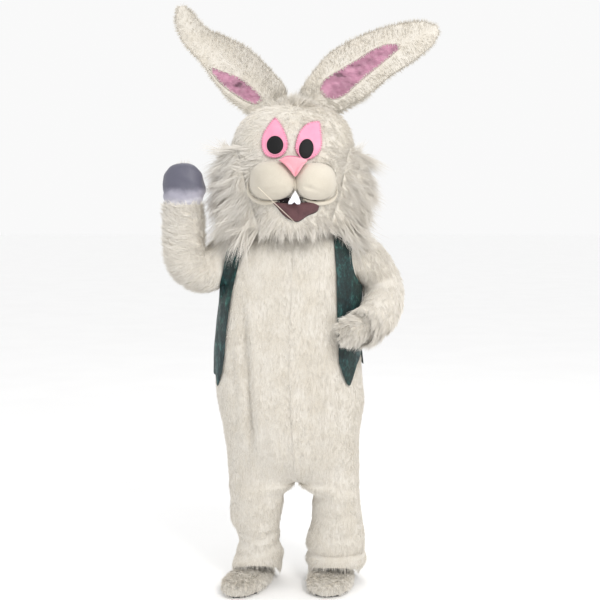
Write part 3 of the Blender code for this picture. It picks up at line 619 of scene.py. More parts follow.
def make_mitt(name, table, first, thumb, margin):
    path = np.array([row[:3] for row in table], float)
    frames = tube_frames(path, first)
    count = 12
    outer, inner = [], []
    for k, row in enumerate(table):
        _, up, across = frames[k]
        ring, inside = [], []
        for i in range(count):
            turn = 2 * math.pi * i / count
            wide, deep = row[3], row[4]
            reach = thumb[2] * math.exp(
                -((k - thumb[0]) / 1.1) ** 2
                - ((math.degrees(turn) - thumb[1] + 180) % 360 - 180) ** 2 / 34**2
            ) if wide else 0
            size = np.array([math.cos(turn) * wide, math.sin(turn) * deep])
            length = max(np.hypot(*size), 1e-9)
            for store, less in ((ring, 0.0), (inside, SATIN)):
                scale = max(length + reach - less, 0.0) / length if wide else 0
                point = path[k] + scale * (size[0] * up + size[1] * across)
                if not wide and less:
                    point = point - frames[k][0] * SATIN
                store.append(clear_of_body(point, margin + (SATIN if less and not wide else 0)))
        outer.append(ring)
        inner.append(inside)
    outer, inner = np.array(outer), np.array(inner)
    inner[:-1] = [
        ring + SATIN * (ring.mean(axis=0) - ring)
        / np.linalg.norm(ring.mean(axis=0) - ring, axis=1, keepdims=True)
        for ring in outer[:-1]
    ]
    wall(name, outer, inner, True, (0.80, 0.78, 0.84), 0.45)


# ----------------------------------------------------------------------- feet


def foot_ring(foot, front, back, half, height, less=0.0):
    x, y, turn, width = foot
    turn = math.radians(turn)
    points = []
    for i in range(14):
        angle = 2 * math.pi * i / 14
        ahead = math.cos(angle)
        long = (front if ahead > 0 else back) - less
        f = long * math.copysign(abs(ahead) ** 0.86, ahead)
        slim = 0.70 + 0.30 * min(max(f / 130, 0), 1)  # the heel is narrower than the toes
        s = (half * width * slim - less) * math.copysign(abs(math.sin(angle)) ** 0.86, math.sin(angle))
        points.append((
            x - f * math.sin(turn) + s * math.cos(turn),
            y - f * math.cos(turn) - s * math.sin(turn),
            height,
        ))
    return np.array(points)


def make_foot(side, foot):
    outer = [foot_ring(foot, f, b, w, h) for h, f, b, w in FOOT]
    inner = [foot_ring(foot, f, b, w, h, FUR) for h, f, b, w in FOOT]
    inner[0][:, 2] += 0.0
    # The turned-in bottom edge of the upper lies on the sole.
    turned = foot_ring(foot, *FOOT[0][1:], FOOT[0][0], 22)
    turned_in = turned.copy()
    turned_in[:, 2] += FUR
    inner[0][:, 2] += FUR
    wall("foot_" + side, [turned, *outer], [turned_in, *inner], True, (0.80, 0.78, 0.75))
    sole = foot_ring(foot, FOOT[0][1] - 2, FOOT[0][2] - 2, FOOT[0][3] - 2, 0)
    top = sole + np.array([0, 0, SOLE])
    skin = Skin()
    low, high = skin.row(sole), skin.row(top)
    skin.grid([low, high], True)
    skin.faces.append(tuple(reversed(low)))
    skin.faces.append(tuple(high))
    place("sole_" + side, skin.points, skin.faces, (0.30, 0.30, 0.31), 0.8)


# ----------------------------------------------------------------------- head


def head_point(height, degrees, out=0.0):
    """A point of the head: 0 degrees is the front, 90 the wearer's left."""
    turn = math.radians(degrees)
    s, c = math.sin(turn), math.cos(turn)
    wide = between(HEAD, height, 2) if s > 0 else -between(HEAD, height, 1)
    deep = -between(HEAD, height, 3) if c > 0 else between(HEAD, height, 4)
    return np.array([
        math.copysign((wide + out) * abs(s) ** (2 / HEAD_SQUARE), s) if wide else 0.0,
        -math.copysign((deep + out) * abs(c) ** (2 / HEAD_SQUARE), c) if deep else 0.0,
        height,
    ])


def face_y(x, height):
    """How far back the front of the head is at a place on the face."""
    wide = between(HEAD, height, 2) if x > 0 else -between(HEAD, height, 1)
    deep = -between(HEAD, height, 3)
    return -deep * max(1 - (abs(x) / wide) ** HEAD_SQUARE, 0.02) ** (1 / HEAD_SQUARE)


def pad_rise(pad, x, height):
    cx, ch, wide, tall, depth = pad
    off = (abs(x - cx) / wide) ** PAD_SQUARE + (abs(height - ch) / tall) ** PAD_SQUARE
    return depth * math.sqrt(1 - off) if off < 1 else 0.0


def front_y(x, height):
    """The foremost face of the head and of the muzzle pads."""
    rise = max(pad_rise(PAD_RIGHT, x, height), pad_rise(PAD_LEFT, x, height))
    return face_y(x, height) - (rise + 8 if rise else 0)


def near_front_y(x, height, around=9):
    """The foremost face of the head and pads close to a place."""
    return min(
        front_y(x + u * around, height + v * around) for u in (-1, 0, 1) for v in (-1, 0, 1)
    )


def make_head():
    heights = [1398, 1440, 1490, 1545, 1605, 1665, 1714, 1751, 1781, 1799, 1809]
    for name, first in (("head_front", -90), ("head_back", 90)):
        outer, inner = [], []
        for k, height in enumerate(heights):
            row_out, row_in = [], []
            for i in range(11):
                degrees = first + 18 * i
                drop = CHIN_DROP * max(math.cos(math.radians(degrees)), 0) ** 1.5
                h = height - drop * max(0, 1 - k / 4)
                point = head_point(h, degrees)
                centre = np.array([0, 0, min(max(h, 1500), 1640)])
                row_out.append(point)
                row_in.append(point + HEAD_WALL * unit(centre - point) * (1.0 if k else np.array([1, 1, 0])))
            outer.append(row_out)
            inner.append(row_in)
        outer, inner = np.array(outer), np.array(inner)
        sign = -1 if name == "head_front" else 1
        for grid in (outer, inner):
            grid[:, [0, -1], 1] += sign * (GAP / 2 + 0.05)
            grid[-1, :, 1] = sign * 0.2  # the crown seam crosses the top
        wall(name, outer, inner, False, (0.87, 0.84, 0.78))


def make_cheek(side, sign):
    outer, inner = [], []
    for height, first, last, full in CHEEK:
        row_out, row_in = [], []
        for c, across in enumerate(CHEEK_ACROSS):
            degrees = sign * (first + (last - first) * c / (len(CHEEK_ACROSS) - 1))
            near = head_point(height, degrees, 5.5)
            turn = math.radians(degrees)
            s, k = math.sin(turn), math.cos(turn)
            wide = abs(between(FLUFF, height, 2 if sign > 0 else 1))
            deep = -between(FLUFF, height, 3)
            far = np.array([
                sign * wide * abs(s) ** (2 / 2.4),
                -math.copysign(deep * abs(k) ** (2 / 2.4), k),
                height,
            ])
            out = unit((near - head_point(height, degrees, -20)))
            row_in.append(near)
            row_out.append(near + 4 * out + (far - near) * across * full)
        outer.append(row_out)
        inner.append(row_in)
    wall("cheek_" + side, np.array(outer), np.array(inner), False, (0.88, 0.85, 0.80))


def face_piece(name, outline, back, front, rings, colour, rough=0.9, crown=0.0):
    """A flat or crowned piece on the face, from its outline to its middle."""
    outline = np.array(outline, float)
    middle = outline.mean(axis=0)
    outer, inner = [], []
    for k in range(rings + 1):
        share = k / rings
        rise = crown * math.sqrt(max(0.0, 1 - share**2.2))
        row_out, row_in = [], []
        for x, h in middle + (outline - middle) * share:
            row_in.append((x, back(x, h), h))
            row_out.append((x, front(x, h) - rise, h))
        outer.append(row_out)
        inner.append(row_in)
    wall(name, np.array(outer), np.array(inner), True, colour, rough)


def round_outline(x, height, wide, tall, tilt, count=14, square=2.0):
    tilt = math.radians(tilt)
    points = []
    for i in range(count):
        turn = 2 * math.pi * i / count
        u = wide * math.copysign(abs(math.cos(turn)) ** (2 / square), math.cos(turn))
        v = tall * math.copysign(abs(math.sin(turn)) ** (2 / square), math.sin(turn))
        points.append((x + u * math.cos(tilt) - v * math.sin(tilt), height + u * math.sin(tilt) + v * math.cos(tilt)))
    return points


def make_face():
    pink, dark = (0.93, 0.45, 0.62), (0.015, 0.015, 0.016)
    for side, patch, eye in (("right", PATCH_RIGHT, EYE_RIGHT), ("left", PATCH_LEFT, EYE_LEFT)):
        face_piece("eye_patch_" + side, patch, lambda x, h: face_y(x, h) - 3.5,
                   lambda x, h: face_y(x, h) - 9, 2, pink)
        face_piece("eye_" + side, round_outline(*eye, count=12), lambda x, h: face_y(x, h) - 9.5,
                   lambda x, h: face_y(x, h) - 11.5, 2, dark, 0.6, crown=3)
    for side, pad in (("right", PAD_RIGHT), ("left", PAD_LEFT)):
        outline = round_outline(*pad[:4], 0, 16, PAD_SQUARE)
        face_piece("muzzle_" + side, outline, lambda x, h: face_y(x, h) - 6.5,
                   lambda x, h: face_y(x, h) - 9.5, 5, (0.80, 0.74, 0.62), 0.9, crown=pad[4])
    face_piece("mouth_lining", MOUTH, lambda x, h: face_y(x, h) - 2.6,
               lambda x, h: face_y(x, h) - 4.4, 2, (0.03, 0.02, 0.02))
    face_piece("lower_lip", LIP, lambda x, h: face_y(x, h) - 7.5,
               lambda x, h: face_y(x, h) - 9.5, 2, (0.28, 0.14, 0.15), crown=9)
    face_piece("nose", NOSE, lambda x, h: min(near_front_y(x, h) - 3, face_y(x, h) - 12),
               lambda x, h: min(near_front_y(x, h), -262) - 8, 3, (0.95, 0.42, 0.50), crown=20)
    top, low = TEETH[0][1], 1435
    face_piece("teeth", TEETH,
               lambda x, h: min(near_front_y(x, h, 3) - 1.5, -240 - 22 * min(1, (top - h) / (top - low) * 1.3)),
               lambda x, h: min(near_front_y(x, h, 3) - 5.0, -266), 2, (0.85, 0.85, 0.93))


def dome_height(x, y):
    """Height of the head's outside over a place seen from above."""
    best = 1809.0
    for height in np.arange(1700, 1809, 2.0):
        wide = between(HEAD, height, 2) if x > 0 else -between(HEAD, height, 1)
        deep = -between(HEAD, height, 3) if y < 0 else between(HEAD, height, 4)
        if (abs(x) / wide) ** HEAD_SQUARE + (abs(y) / deep) ** HEAD_SQUARE >= 1:
            return float(height)
        best = height
    return best + 2


def ear_frames(table):
    path = np.array([row[:3] for row in table], float)
    frames = []
    for k in range(len(path)):
        along = unit(path[min(k + 1, len(path) - 1)] - path[max(k - 1, 0)])
        face = unit(np.array([0, -1, 0]) - np.dot([0, -1, 0], along) * along)
        frames.append((path[k], np.cross(along, face), face))
    return frames


def make_ear(side, table):
    rings = []
    for (centre, across, face), row in zip(ear_frames(table), table):
        wide, thick, cup = row[3:]
        ring = []
        for i in range(12):
            turn = 2 * math.pi * i / 12
            u, v = math.cos(turn), math.sin(turn)
            point = centre + wide * u * across + (cup * u * u + thick * v) * face
            floor = dome_height(point[0], point[1]) + 2.6
            if point[2] < floor:
                point[2] = floor
            ring.append(point)
        rings.append(ring)
    stuffed("ear_" + side, rings, (0.87, 0.84, 0.78))
    first, last = EAR_LINING_ROWS[side]
    outer, inner = [], []
    frames = ear_frames(table)
    for k in range(first, last + 1):
        centre, across, face = frames[k]
        wide, thick, cup = table[k][3:]
        narrow = (0.55, 1.0, 1.0, 1.0, 0.85, 0.35)[k - first]
        row_out, row_in = [], []
        for i in range(7):
            s = LINING_WIDTH * narrow * (i / 3 - 1)
            base = centre + wide * s * across
            turns = np.linspace(math.pi, 0, 7)  # the flat facets of the ear's front
            rise = np.interp(s, np.cos(turns), cup * np.cos(turns) ** 2 + thick * np.sin(turns))
            row_in.append(base + (rise + 2.0) * face)
            row_out.append(base + (rise + 4.0) * face)
        outer.append(row_out)
        inner.append(row_in)
    wall("ear_lining_" + side, np.array(outer), np.array(inner), False, (0.78, 0.38, 0.55), 0.6)


def make_whisker():
    path = np.array([(x, y, h) for x, h, y in WHISKER], float)
    frames = tube_frames(path, (0, -1, 0))
    rings = []
    for k, (point, (_, up, across)) in enumerate(zip(path, frames)):
        radius = 1.1 - 0.15 * k
        rings.append([
            point + radius * (math.cos(t) * up + math.sin(t) * across)
            for t in np.linspace(0, 2 * math.pi, 6, endpoint=False)
        ])
    stuffed("whisker", rings, (0.85, 0.80, 0.70), 0.5)


# ----------------------------------------------------------------------- vest


def share_at(height, side, x):
    """The share of the quarter at which the front of the body has this x."""
    mid = between(BODY, height, 5)
    wide = (between(BODY, height, 2) - mid) if side > 0 else (mid - between(BODY, height, 1))
    sine = min(max(side * (x - mid) / wide, 0.02), 0.999) ** (SQUARE / 2)
    return math.asin(sine) / (math.pi / 2)


def vest_armhole(height):
    half = (ARM_TOP - ARM_BOTTOM) / 2 + 14
    off = (height - (ARM_TOP + ARM_BOTTOM) / 2 + 3) / half
    return (ARM_OPEN + 0.07) * math.sqrt(max(0.0, 1 - off * off))


VEST_TOP = (1133, 1150, 1186, 1224, 1262, 1300, 1320, 1334, 1344, 1352, 1364, 1375)


def make_vest_front(side_name, side, edge, hem):
    below = [0.0, 0.2, 0.45, 0.72]
    grid = []
    for t in below + list(VEST_TOP):
        row = []
        for across in (0.0, 0.2, 0.45, 0.72, 1.0):
            if t < 1.5:
                low = float(np.interp(across, [r[0] for r in hem], [r[1] for r in hem]))
                height = low + (VEST_TOP[0] - low) * t
                end = 1.0
            else:
                height, end = t, 1 - vest_armhole(t) * (0.42 if side < 0 else 1.0)
            x = float(np.interp(height, [r[0] for r in edge], [r[1] for r in edge]))
            start = min(share_at(height, side, x), end - 0.05)
            row.append((height, start + (end - start) * across))
        grid.append(row)
    make_vest_piece("vest_front_" + side_name, side, -1, grid, ("last",))


def lapped(point, side, face, out):
    """Brings the right front of the vest over the root of the raised sleeve."""
    if side > 0 or face > 0:
        return point
    x, y, height = point
    table = np.array(SLEEVE_RIGHT, float)[:5]
    _, centre, middle, radius = (float(np.interp(-x, -table[:, 0], table[:, k])) for k in range(4))
    drop, reach = height - middle, radius + 22
    if abs(drop) >= reach:
        return point
    front = centre - math.sqrt(reach**2 - drop**2) + 12 - LAP - out
    share = min(1.0, max(0.0, (-x - 215) / 34))
    return np.array([x, y + share * min(0.0, front - y), height])


def make_vest_piece(name, side, face, grid, seams):
    outer, inner = (
        np.array([
            [lapped(folded(body_point(h, side, face, s, out), face), side, face, out) for h, s in row]
            for row in grid
        ])
        for out in (VEST_OFF + VELVET, VEST_OFF)
    )
    outer, inner = (pull_in(g, GAP / 2 + 0.1, seams) for g in (outer, inner))
    for g in (outer, inner):
        g[:, -1, 1] += face * 0.15
    wall(name, outer, inner, False, (0.03, 0.13, 0.13), 0.5)


def make_vest_back():
    below = [0.0, 0.3, 0.65]
    columns = 7
    outer, inner = [], []
    for t in below + list(VEST_TOP):
        if t < 1.5:
            height, end = VEST_HEM_BACK + (VEST_TOP[0] - VEST_HEM_BACK) * t, 1.0
        else:
            height, end = t, 1 - vest_armhole(t)
        for store, out in ((outer, VEST_OFF + VELVET), (inner, VEST_OFF)):
            row = []
            for side in (-1, 1):
                half = []
                for c in range(columns):
                    share = end * c / (columns - 1)
                    point = folded(body_point(height, side, 1, share, out), 1)
                    point[1] += 0.25
                    half.append(point)
                row += list(reversed(half)) if side < 0 else half[1:]
            store.append(row)
    wall("vest_back", np.array(outer), np.array(inner), False, (0.03, 0.13, 0.13), 0.5)


# ---------------------------------------------------------------- finer sheets


def spline(count, times, wrap):
    """Weights that turn a row of points into a finer row on a smooth curve."""
    total = count * times if wrap else (count - 1) * times + 1
    weights = np.zeros((total, count))
    for m in range(total):
        k, t = divmod(m, times)
        t /= times
        share = (
            (-t + 2 * t**2 - t**3) / 2,
            (2 - 5 * t**2 + 3 * t**3) / 2,
            (t + 4 * t**2 - 3 * t**3) / 2,
            (-(t**2) + t**3) / 2,
        )
        for off, w in zip((-1, 0, 1, 2), share):
            at = k + off
            if wrap:
                weights[m, at % count] += w
            elif at < 0:
                weights[m, 0] += 2 * w
                weights[m, 1] -= w
            elif at >= count:
                over = at - count + 1
                weights[m, count - 1] += (1 + over) * w
                weights[m, count - 2] -= over * w
            else:
                weights[m, at] += w
    return weights


def finer(grid, down, over, wrap):
    grid = np.einsum("mr,rcx->mcx", spline(grid.shape[0], down, False), grid)
    return np.einsum("nc,mcx->mnx", spline(grid.shape[1], over, wrap), grid)


def away(outer, inner):
    way = outer - inner
    return way / np.maximum(np.linalg.norm(way, axis=-1, keepdims=True), 1e-9)


def sheet_normals(grid, wrap, towards):
    """Normals of a fine sheet, turned to the side of another field of directions."""
    if wrap:
        over = np.roll(grid, -1, axis=1) - np.roll(grid, 1, axis=1)
    else:
        over = np.gradient(grid, axis=1)
    down = np.gradient(grid, axis=0)
    normal = np.cross(over, down)
    size = np.linalg.norm(normal, axis=-1, keepdims=True)
    normal = np.where(size > 1e-6, normal / np.maximum(size, 1e-9), towards)
    flip = np.sign((normal * towards).sum(-1, keepdims=True))
    return normal * np.where(flip == 0, 1, flip)


def waves(seed, size, count=7):
    """A smooth random field with features of about this size in millimetres."""
    rng = np.random.default_rng(seed)
    ways = rng.normal(size=(count, 3))
    ways /= np.linalg.norm(ways, axis=1, keepdims=True)
    ways *= (2 * math.pi / size) * rng.uniform(0.6, 1.4, (count, 1))
    phases = rng.uniform(0, 2 * math.pi, count)

    def field(points):
        points = np.asarray(points, float)
        return np.sin(points @ ways.T + phases).sum(-1) / math.sqrt(count)

    return field


# ---------------------------------------------------------------- meshes


def finish_mesh(made, material_, smooth=True):
    if smooth:
        made.data.shade_smooth()
    made.data.materials.append(material_)
    bpy.context.scene.collection.objects.link(made)
    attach(made, "root")
    return made


def to_row(points):
    points = np.asarray(points, float).copy()
    points[..., 2] -= NECK
    return points / 1000


def solid_mesh(name, points, faces, material_):
    """One mesh from points above the floor; its faces are turned outward."""
    points = np.asarray(points, float)
    six = 0.0
    for face in faces:
        for k in range(1, len(face) - 1):
            six += float(np.dot(points[face[0]], np.cross(points[face[k]], points[face[k + 1]])))
    if six < 0:
        faces = [tuple(reversed(face)) for face in faces]
    mesh = bpy.data.meshes.new(name)
    mesh.from_pydata(to_row(points).tolist(), [], [tuple(int(i) for i in f) for f in faces])
    mesh.validate()
    return finish_mesh(bpy.data.objects.new(name, mesh), material_)


def shell(name, outer, inner, wrap, material_):
    """A closed piece of cloth from its two fine faces."""
    skin = Skin()
    out = [skin.row(r) for r in outer]
    ins = [skin.row(r) for r in inner]
    skin.grid(out, wrap)
    skin.grid(ins, wrap, turned=True)
    count = len(out[0])
    for c in range(count if wrap else count - 1):
        d = (c + 1) % count
        if len(set(out[0])) > 1:
            skin.face(out[0][d], out[0][c], ins[0][c], ins[0][d])
        if len(set(out[-1])) > 1:
            skin.face(out[-1][c], out[-1][d], ins[-1][d], ins[-1][c])
    if not wrap:
        for r in range(len(out) - 1):
            skin.face(out[r][0], out[r + 1][0], ins[r + 1][0], ins[r][0])
            skin.face(out[r + 1][-1], out[r][-1], ins[r][-1], ins[r + 1][-1])
    made = solid_mesh(name, skin.points, skin.faces, material_)
    made.data.set_sharp_from_angle(angle=math.radians(55))
    return made


def closed_rings(name, rings, material_):
    skin = Skin()
    rows = [skin.row(r) for r in rings]
    skin.grid(rows, True)
    return solid_mesh(name, skin.points, skin.faces, material_)


def tube(name, paths, radii, material_, sides=6):
    """Round threads along one or more paths, in one mesh, thinning to their ends."""
    skin = Skin()
    for path in paths:
        path = np.asarray(path, float)
        frames = tube_frames(path, (0.3, -0.9, 0.31))
        rows = [skin.row(np.repeat(path[:1], sides, axis=0))]
        for k, (_, up, across) in enumerate(frames):
            r = float(np.interp(k / max(len(path) - 1, 1), [x for x, _ in radii], [y for _, y in radii]))
            rows.append(skin.row([
                path[k] + r * (math.cos(t) * up + math.sin(t) * across)
                for t in np.linspace(0, 2 * math.pi, sides, endpoint=False)
            ]))
        rows.append(skin.row(np.repeat(path[-1:], sides, axis=0)))
        skin.grid(rows, True)
    return solid_mesh(name, skin.points, skin.faces, material_)


# ---------------------------------------------------------------- materials


def new_material(name):
    made = bpy.data.materials.new(name)
    made.use_nodes = True
    nodes, links = made.node_tree.nodes, made.node_tree.links
    return made, nodes, links, nodes["Principled BSDF"]


def ramp(nodes, stops, smooth=True):
    made = nodes.new("ShaderNodeValToRGB")
    made.color_ramp.interpolation = "EASE" if smooth else "LINEAR"
    while len(made.color_ramp.elements) < len(stops):
        made.color_ramp.elements.new(0.5)
    for element, (where, colour) in zip(made.color_ramp.elements, stops):
        element.position = where
        element.color = (*colour, 1)
    return made


def noise(nodes, links, scale, detail=4, rough=0.55, where=None, stretch=None):
    made = nodes.new("ShaderNodeTexNoise")
    made.inputs["Scale"].default_value = scale
    made.inputs["Detail"].default_value = detail
    made.inputs["Roughness"].default_value = rough
    if where is None:
        where = nodes.new("ShaderNodeTexCoord").outputs["Object"]
    if stretch:
        turn = nodes.new("ShaderNodeMapping")
        turn.inputs["Scale"].default_value = stretch
        links.new(where, turn.inputs["Vector"])
        where = turn.outputs["Vector"]
    links.new(where, made.inputs["Vector"])
    return made


def mix_colours(nodes, links, how, factor, a, b):
    made = nodes.new("ShaderNodeMix")
    made.data_type = "RGBA"
    made.blend_type = how
    if isinstance(factor, float):
        made.inputs[0].default_value = factor
    else:
        links.new(factor, made.inputs[0])
    for socket, value in ((made.inputs[6], a), (made.inputs[7], b)):
        if isinstance(value, tuple):
            socket.default_value = (*value, 1)
        else:
            links.new(value, socket)
    return made.outputs[2]


def bump(nodes, links, shader, heights, distance, strength=1.0):
    """Bumps from one or more fields, each (output, share)."""
    total = None
    for out, share in heights:
        part = nodes.new("ShaderNodeMath")
        part.operation = "MULTIPLY"
        links.new(out, part.inputs[0])
        part.inputs[1].default_value = share
        if total is None:
            total = part.outputs[0]
        else:
            both = nodes.new("ShaderNodeMath")
            both.operation = "ADD"
            links.new(total, both.inputs[0])
            links.new(part.outputs[0], both.inputs[1])
            total = both.outputs[0]
    made = nodes.new("ShaderNodeBump")
    made.inputs["Strength"].default_value = strength
    made.inputs["Distance"].default_value = distance
    links.new(total, made.inputs["Height"])
    links.new(made.outputs["Normal"], shader.inputs["Normal"])


def hair_material(name, root, middle, tip, tints):
    """Fur: coloured from root to tip, with a tint that differs from hair to hair."""
    made, nodes, links, shader = new_material(name)
    where = nodes.new("ShaderNodeUVMap")
    where.uv_map = "OFBake"
    split = nodes.new("ShaderNodeSeparateXYZ")
    links.new(where.outputs["UV"], split.inputs[0])
    along = ramp(nodes, [(0.0, root), (0.42, middle), (1.0, tip)])
    links.new(split.outputs["Y"], along.inputs["Fac"])
    tint = ramp(nodes, [(0.0, tints[0]), (0.35, tints[1]), (0.7, tints[2]), (1.0, tints[3])])
    links.new(split.outputs["X"], tint.inputs["Fac"])
    colour = mix_colours(nodes, links, "MULTIPLY", 1.0, along.outputs["Color"], tint.outputs["Color"])
    links.new(colour, shader.inputs["Base Color"])
    shader.inputs["Roughness"].default_value = 0.62
    shader.inputs["Specular IOR Level"].default_value = 0.28
    shader.inputs["Sheen Weight"].default_value = 0.25
    shader.inputs["Sheen Roughness"].default_value = 0.45
    return made


def backing_material(name, light, dark):
    """The backing of the fur with its short underfur, coloured darker than the hair as painted shade in the gaps
    between the hairs.
    """
    made, nodes, links, shader = new_material(name)
    broad = noise(nodes, links, 14, 3)
    fine = noise(nodes, links, 260, 3, stretch=(1, 1, 0.25))
    colours = ramp(nodes, [(0.3, dark), (0.7, light)])
    links.new(fine.outputs["Fac"], colours.inputs["Fac"])
    shade = ramp(nodes, [(0.25, (0.90, 0.88, 0.84)), (0.7, (1, 1, 1))])
    links.new(broad.outputs["Fac"], shade.inputs["Fac"])
    colour = mix_colours(nodes, links, "MULTIPLY", 1.0, colours.outputs["Color"], shade.outputs["Color"])
    links.new(colour, shader.inputs["Base Color"])
    shader.inputs["Roughness"].default_value = 0.9
    shader.inputs["Specular IOR Level"].default_value = 0.15
    bump(nodes, links, shader, [(fine.outputs["Fac"], 1.0)], 0.002)
    return made


def cloth_material(name, dark, light, scale, rough, sheen, bumps, broad=9.0, spread=0.35, specular=0.3):
    """Plain cloth: a fine nap or weave, broad soft changes of colour, and its sheen."""
    made, nodes, links, shader = new_material(name)
    fine = noise(nodes, links, scale, 5, 0.62)
    wide = noise(nodes, links, broad, 3, 0.5)
    colours = ramp(nodes, [(0.5 - spread, dark), (0.5 + spread, light)])
    both = nodes.new("ShaderNodeMix")
    both.data_type = "FLOAT"
    both.inputs[0].default_value = 0.5
    links.new(fine.outputs["Fac"], both.inputs[2])
    links.new(wide.outputs["Fac"], both.inputs[3])
    links.new(both.outputs[0], colours.inputs["Fac"])
    links.new(colours.outputs["Color"], shader.inputs["Base Color"])
    shader.inputs["Roughness"].default_value = rough
    shader.inputs["Specular IOR Level"].default_value = specular
    shader.inputs["Sheen Weight"].default_value = sheen
    shader.inputs["Sheen Roughness"].default_value = 0.5
    bump(nodes, links, shader, [(fine.outputs["Fac"], 1.0)], bumps)
    return made


def velvet_material():
    """Crushed velvet: the pile lies over in patches and streaks; the brightest teal of these is painted highlight,
    where the pile catches the light.
    """
    made, nodes, links, shader = new_material("green_velvet_pile")
    patches = noise(nodes, links, 40, 5, 0.7, stretch=(1, 1, 0.6))
    streaks = noise(nodes, links, 230, 4, 0.75, stretch=(1, 1, 0.45))
    broad = noise(nodes, links, 7, 3, 0.5)
    both = nodes.new("ShaderNodeMix")
    both.data_type = "FLOAT"
    both.inputs[0].default_value = 0.45
    links.new(patches.outputs["Fac"], both.inputs[2])
    links.new(streaks.outputs["Fac"], both.inputs[3])
    # near black to bright teal: the bright teal stops are painted highlight on the crushed pile
    colours = ramp(nodes, [
        (0.36, (0.0012, 0.008, 0.008)), (0.50, (0.003, 0.020, 0.020)),
        (0.56, (0.010, 0.055, 0.052)), (0.61, (0.040, 0.135, 0.122)), (0.68, (0.16, 0.33, 0.30)),
    ])
    links.new(both.outputs[0], colours.inputs["Fac"])
    hue = ramp(nodes, [(0.35, (0.80, 1.0, 0.90)), (0.65, (1.0, 1.0, 1.12))])
    links.new(broad.outputs["Fac"], hue.inputs["Fac"])
    colour = mix_colours(nodes, links, "MULTIPLY", 1.0, colours.outputs["Color"], hue.outputs["Color"])
    links.new(colour, shader.inputs["Base Color"])
    gloss = nodes.new("ShaderNodeMapRange")
    gloss.inputs["From Min"].default_value = 0.35
    gloss.inputs["From Max"].default_value = 0.65
    gloss.inputs["To Min"].default_value = 0.62
    gloss.inputs["To Max"].default_value = 0.36
    links.new(both.outputs[0], gloss.inputs["Value"])
    links.new(gloss.outputs["Result"], shader.inputs["Roughness"])
    shader.inputs["Sheen Weight"].default_value = 0.07
    shader.inputs["Sheen Roughness"].default_value = 0.3
    shader.inputs["Sheen Tint"].default_value = (0.45, 0.90, 0.86, 1)
    bump(nodes, links, shader, [(patches.outputs["Fac"], 1.0), (streaks.outputs["Fac"], 0.6)], 0.004)
    return made


def mesh_material():
    """Black mesh to see out through: a fine net of round holes with a dull gloss."""
    made, nodes, links, shader = new_material("eye_mesh_net")
    where = nodes.new("ShaderNodeTexCoord").outputs["Object"]
    holes = nodes.new("ShaderNodeTexVoronoi")
    holes.inputs["Scale"].default_value = 480
    holes.inputs["Randomness"].default_value = 0.15
    links.new(where, holes.inputs["Vector"])
    colours = ramp(nodes, [(0.25, (0.001, 0.001, 0.001)), (0.5, (0.009, 0.009, 0.010))])
    links.new(holes.outputs["Distance"], colours.inputs["Fac"])
    links.new(colours.outputs["Color"], shader.inputs["Base Color"])
    shader.inputs["Roughness"].default_value = 0.5
    shader.inputs["Specular IOR Level"].default_value = 0.22
    bump(nodes, links, shader, [(holes.outputs["Distance"], 1.0)], 0.0006)
    return made


def satin_material(name, dark, light, rough, sheen, scale=22.0):
    made, nodes, links, shader = new_material(name)
    crush = noise(nodes, links, scale, 5, 0.6, stretch=(0.55, 1, 1.3))
    weave = noise(nodes, links, 900, 2, 0.5)
    # painted shade: the colour follows the crush field that also drives the bump, darkest in the hollows of the
    # creases
    colours = ramp(nodes, [(0.30, dark), (0.44, tuple(0.62 * a + 0.38 * b for a, b in zip(light, dark))), (0.62, light)])
    links.new(crush.outputs["Fac"], colours.inputs["Fac"])
    links.new(colours.outputs["Color"], shader.inputs["Base Color"])
    shader.inputs["Roughness"].default_value = rough
    shader.inputs["Sheen Weight"].default_value = sheen
    bump(nodes, links, shader, [(crush.outputs["Fac"], 1.0), (weave.outputs["Fac"], 0.05)], 0.003)
    return made


def mitt_material():
    """White satin with painted shade: a lavender grey that deepens towards the end of the hand, set by height and
    mixed with the crumpled field.
    """
    made, nodes, links, shader = new_material("white_satin_painted_shade")
    where = nodes.new("ShaderNodeTexCoord").outputs["Object"]
    split = nodes.new("ShaderNodeSeparateXYZ")
    links.new(where, split.inputs[0])
    crush = noise(nodes, links, 16, 4, 0.55)
    # painted shade: the higher on the hand, the darker and greyer the satin
    high = nodes.new("ShaderNodeMapRange")
    for socket, value in (("From Min", 0.085), ("From Max", 0.165)):
        high.inputs[socket].default_value = value
    links.new(split.outputs["Z"], high.inputs["Value"])
    both = nodes.new("ShaderNodeMix")
    both.data_type = "FLOAT"
    both.inputs[0].default_value = 0.4
    links.new(high.outputs["Result"], both.inputs[2])
    links.new(crush.outputs["Fac"], both.inputs[3])
    # light to dark lavender grey: the grey and dark stops are painted shade on the top of the hand
    colours = ramp(nodes, [(0.18, (0.66, 0.65, 0.71)), (0.40, (0.36, 0.35, 0.42)), (0.66, (0.105, 0.105, 0.145))])
    links.new(both.outputs[0], colours.inputs["Fac"])
    links.new(colours.outputs["Color"], shader.inputs["Base Color"])
    shader.inputs["Roughness"].default_value = 0.5
    shader.inputs["Sheen Weight"].default_value = 0.2
    weave = noise(nodes, links, 900, 2, 0.5)
    bump(nodes, links, shader, [(crush.outputs["Fac"], 1.0), (weave.outputs["Fac"], 0.05)], 0.003)
    return made


def rubber_material():
    made, nodes, links, shader = new_material("outsole_rubber")
    grain = noise(nodes, links, 500, 3)
    worn = noise(nodes, links, 18, 4)
    colours = ramp(nodes, [(0.3, (0.10, 0.10, 0.105)), (0.75, (0.22, 0.215, 0.21))])
    links.new(worn.outputs["Fac"], colours.inputs["Fac"])
    links.new(colours.outputs["Color"], shader.inputs["Base Color"])
    shader.inputs["Roughness"].default_value = 0.78
    bump(nodes, links, shader, [(grain.outputs["Fac"], 1.0)], 0.0006)
    return made


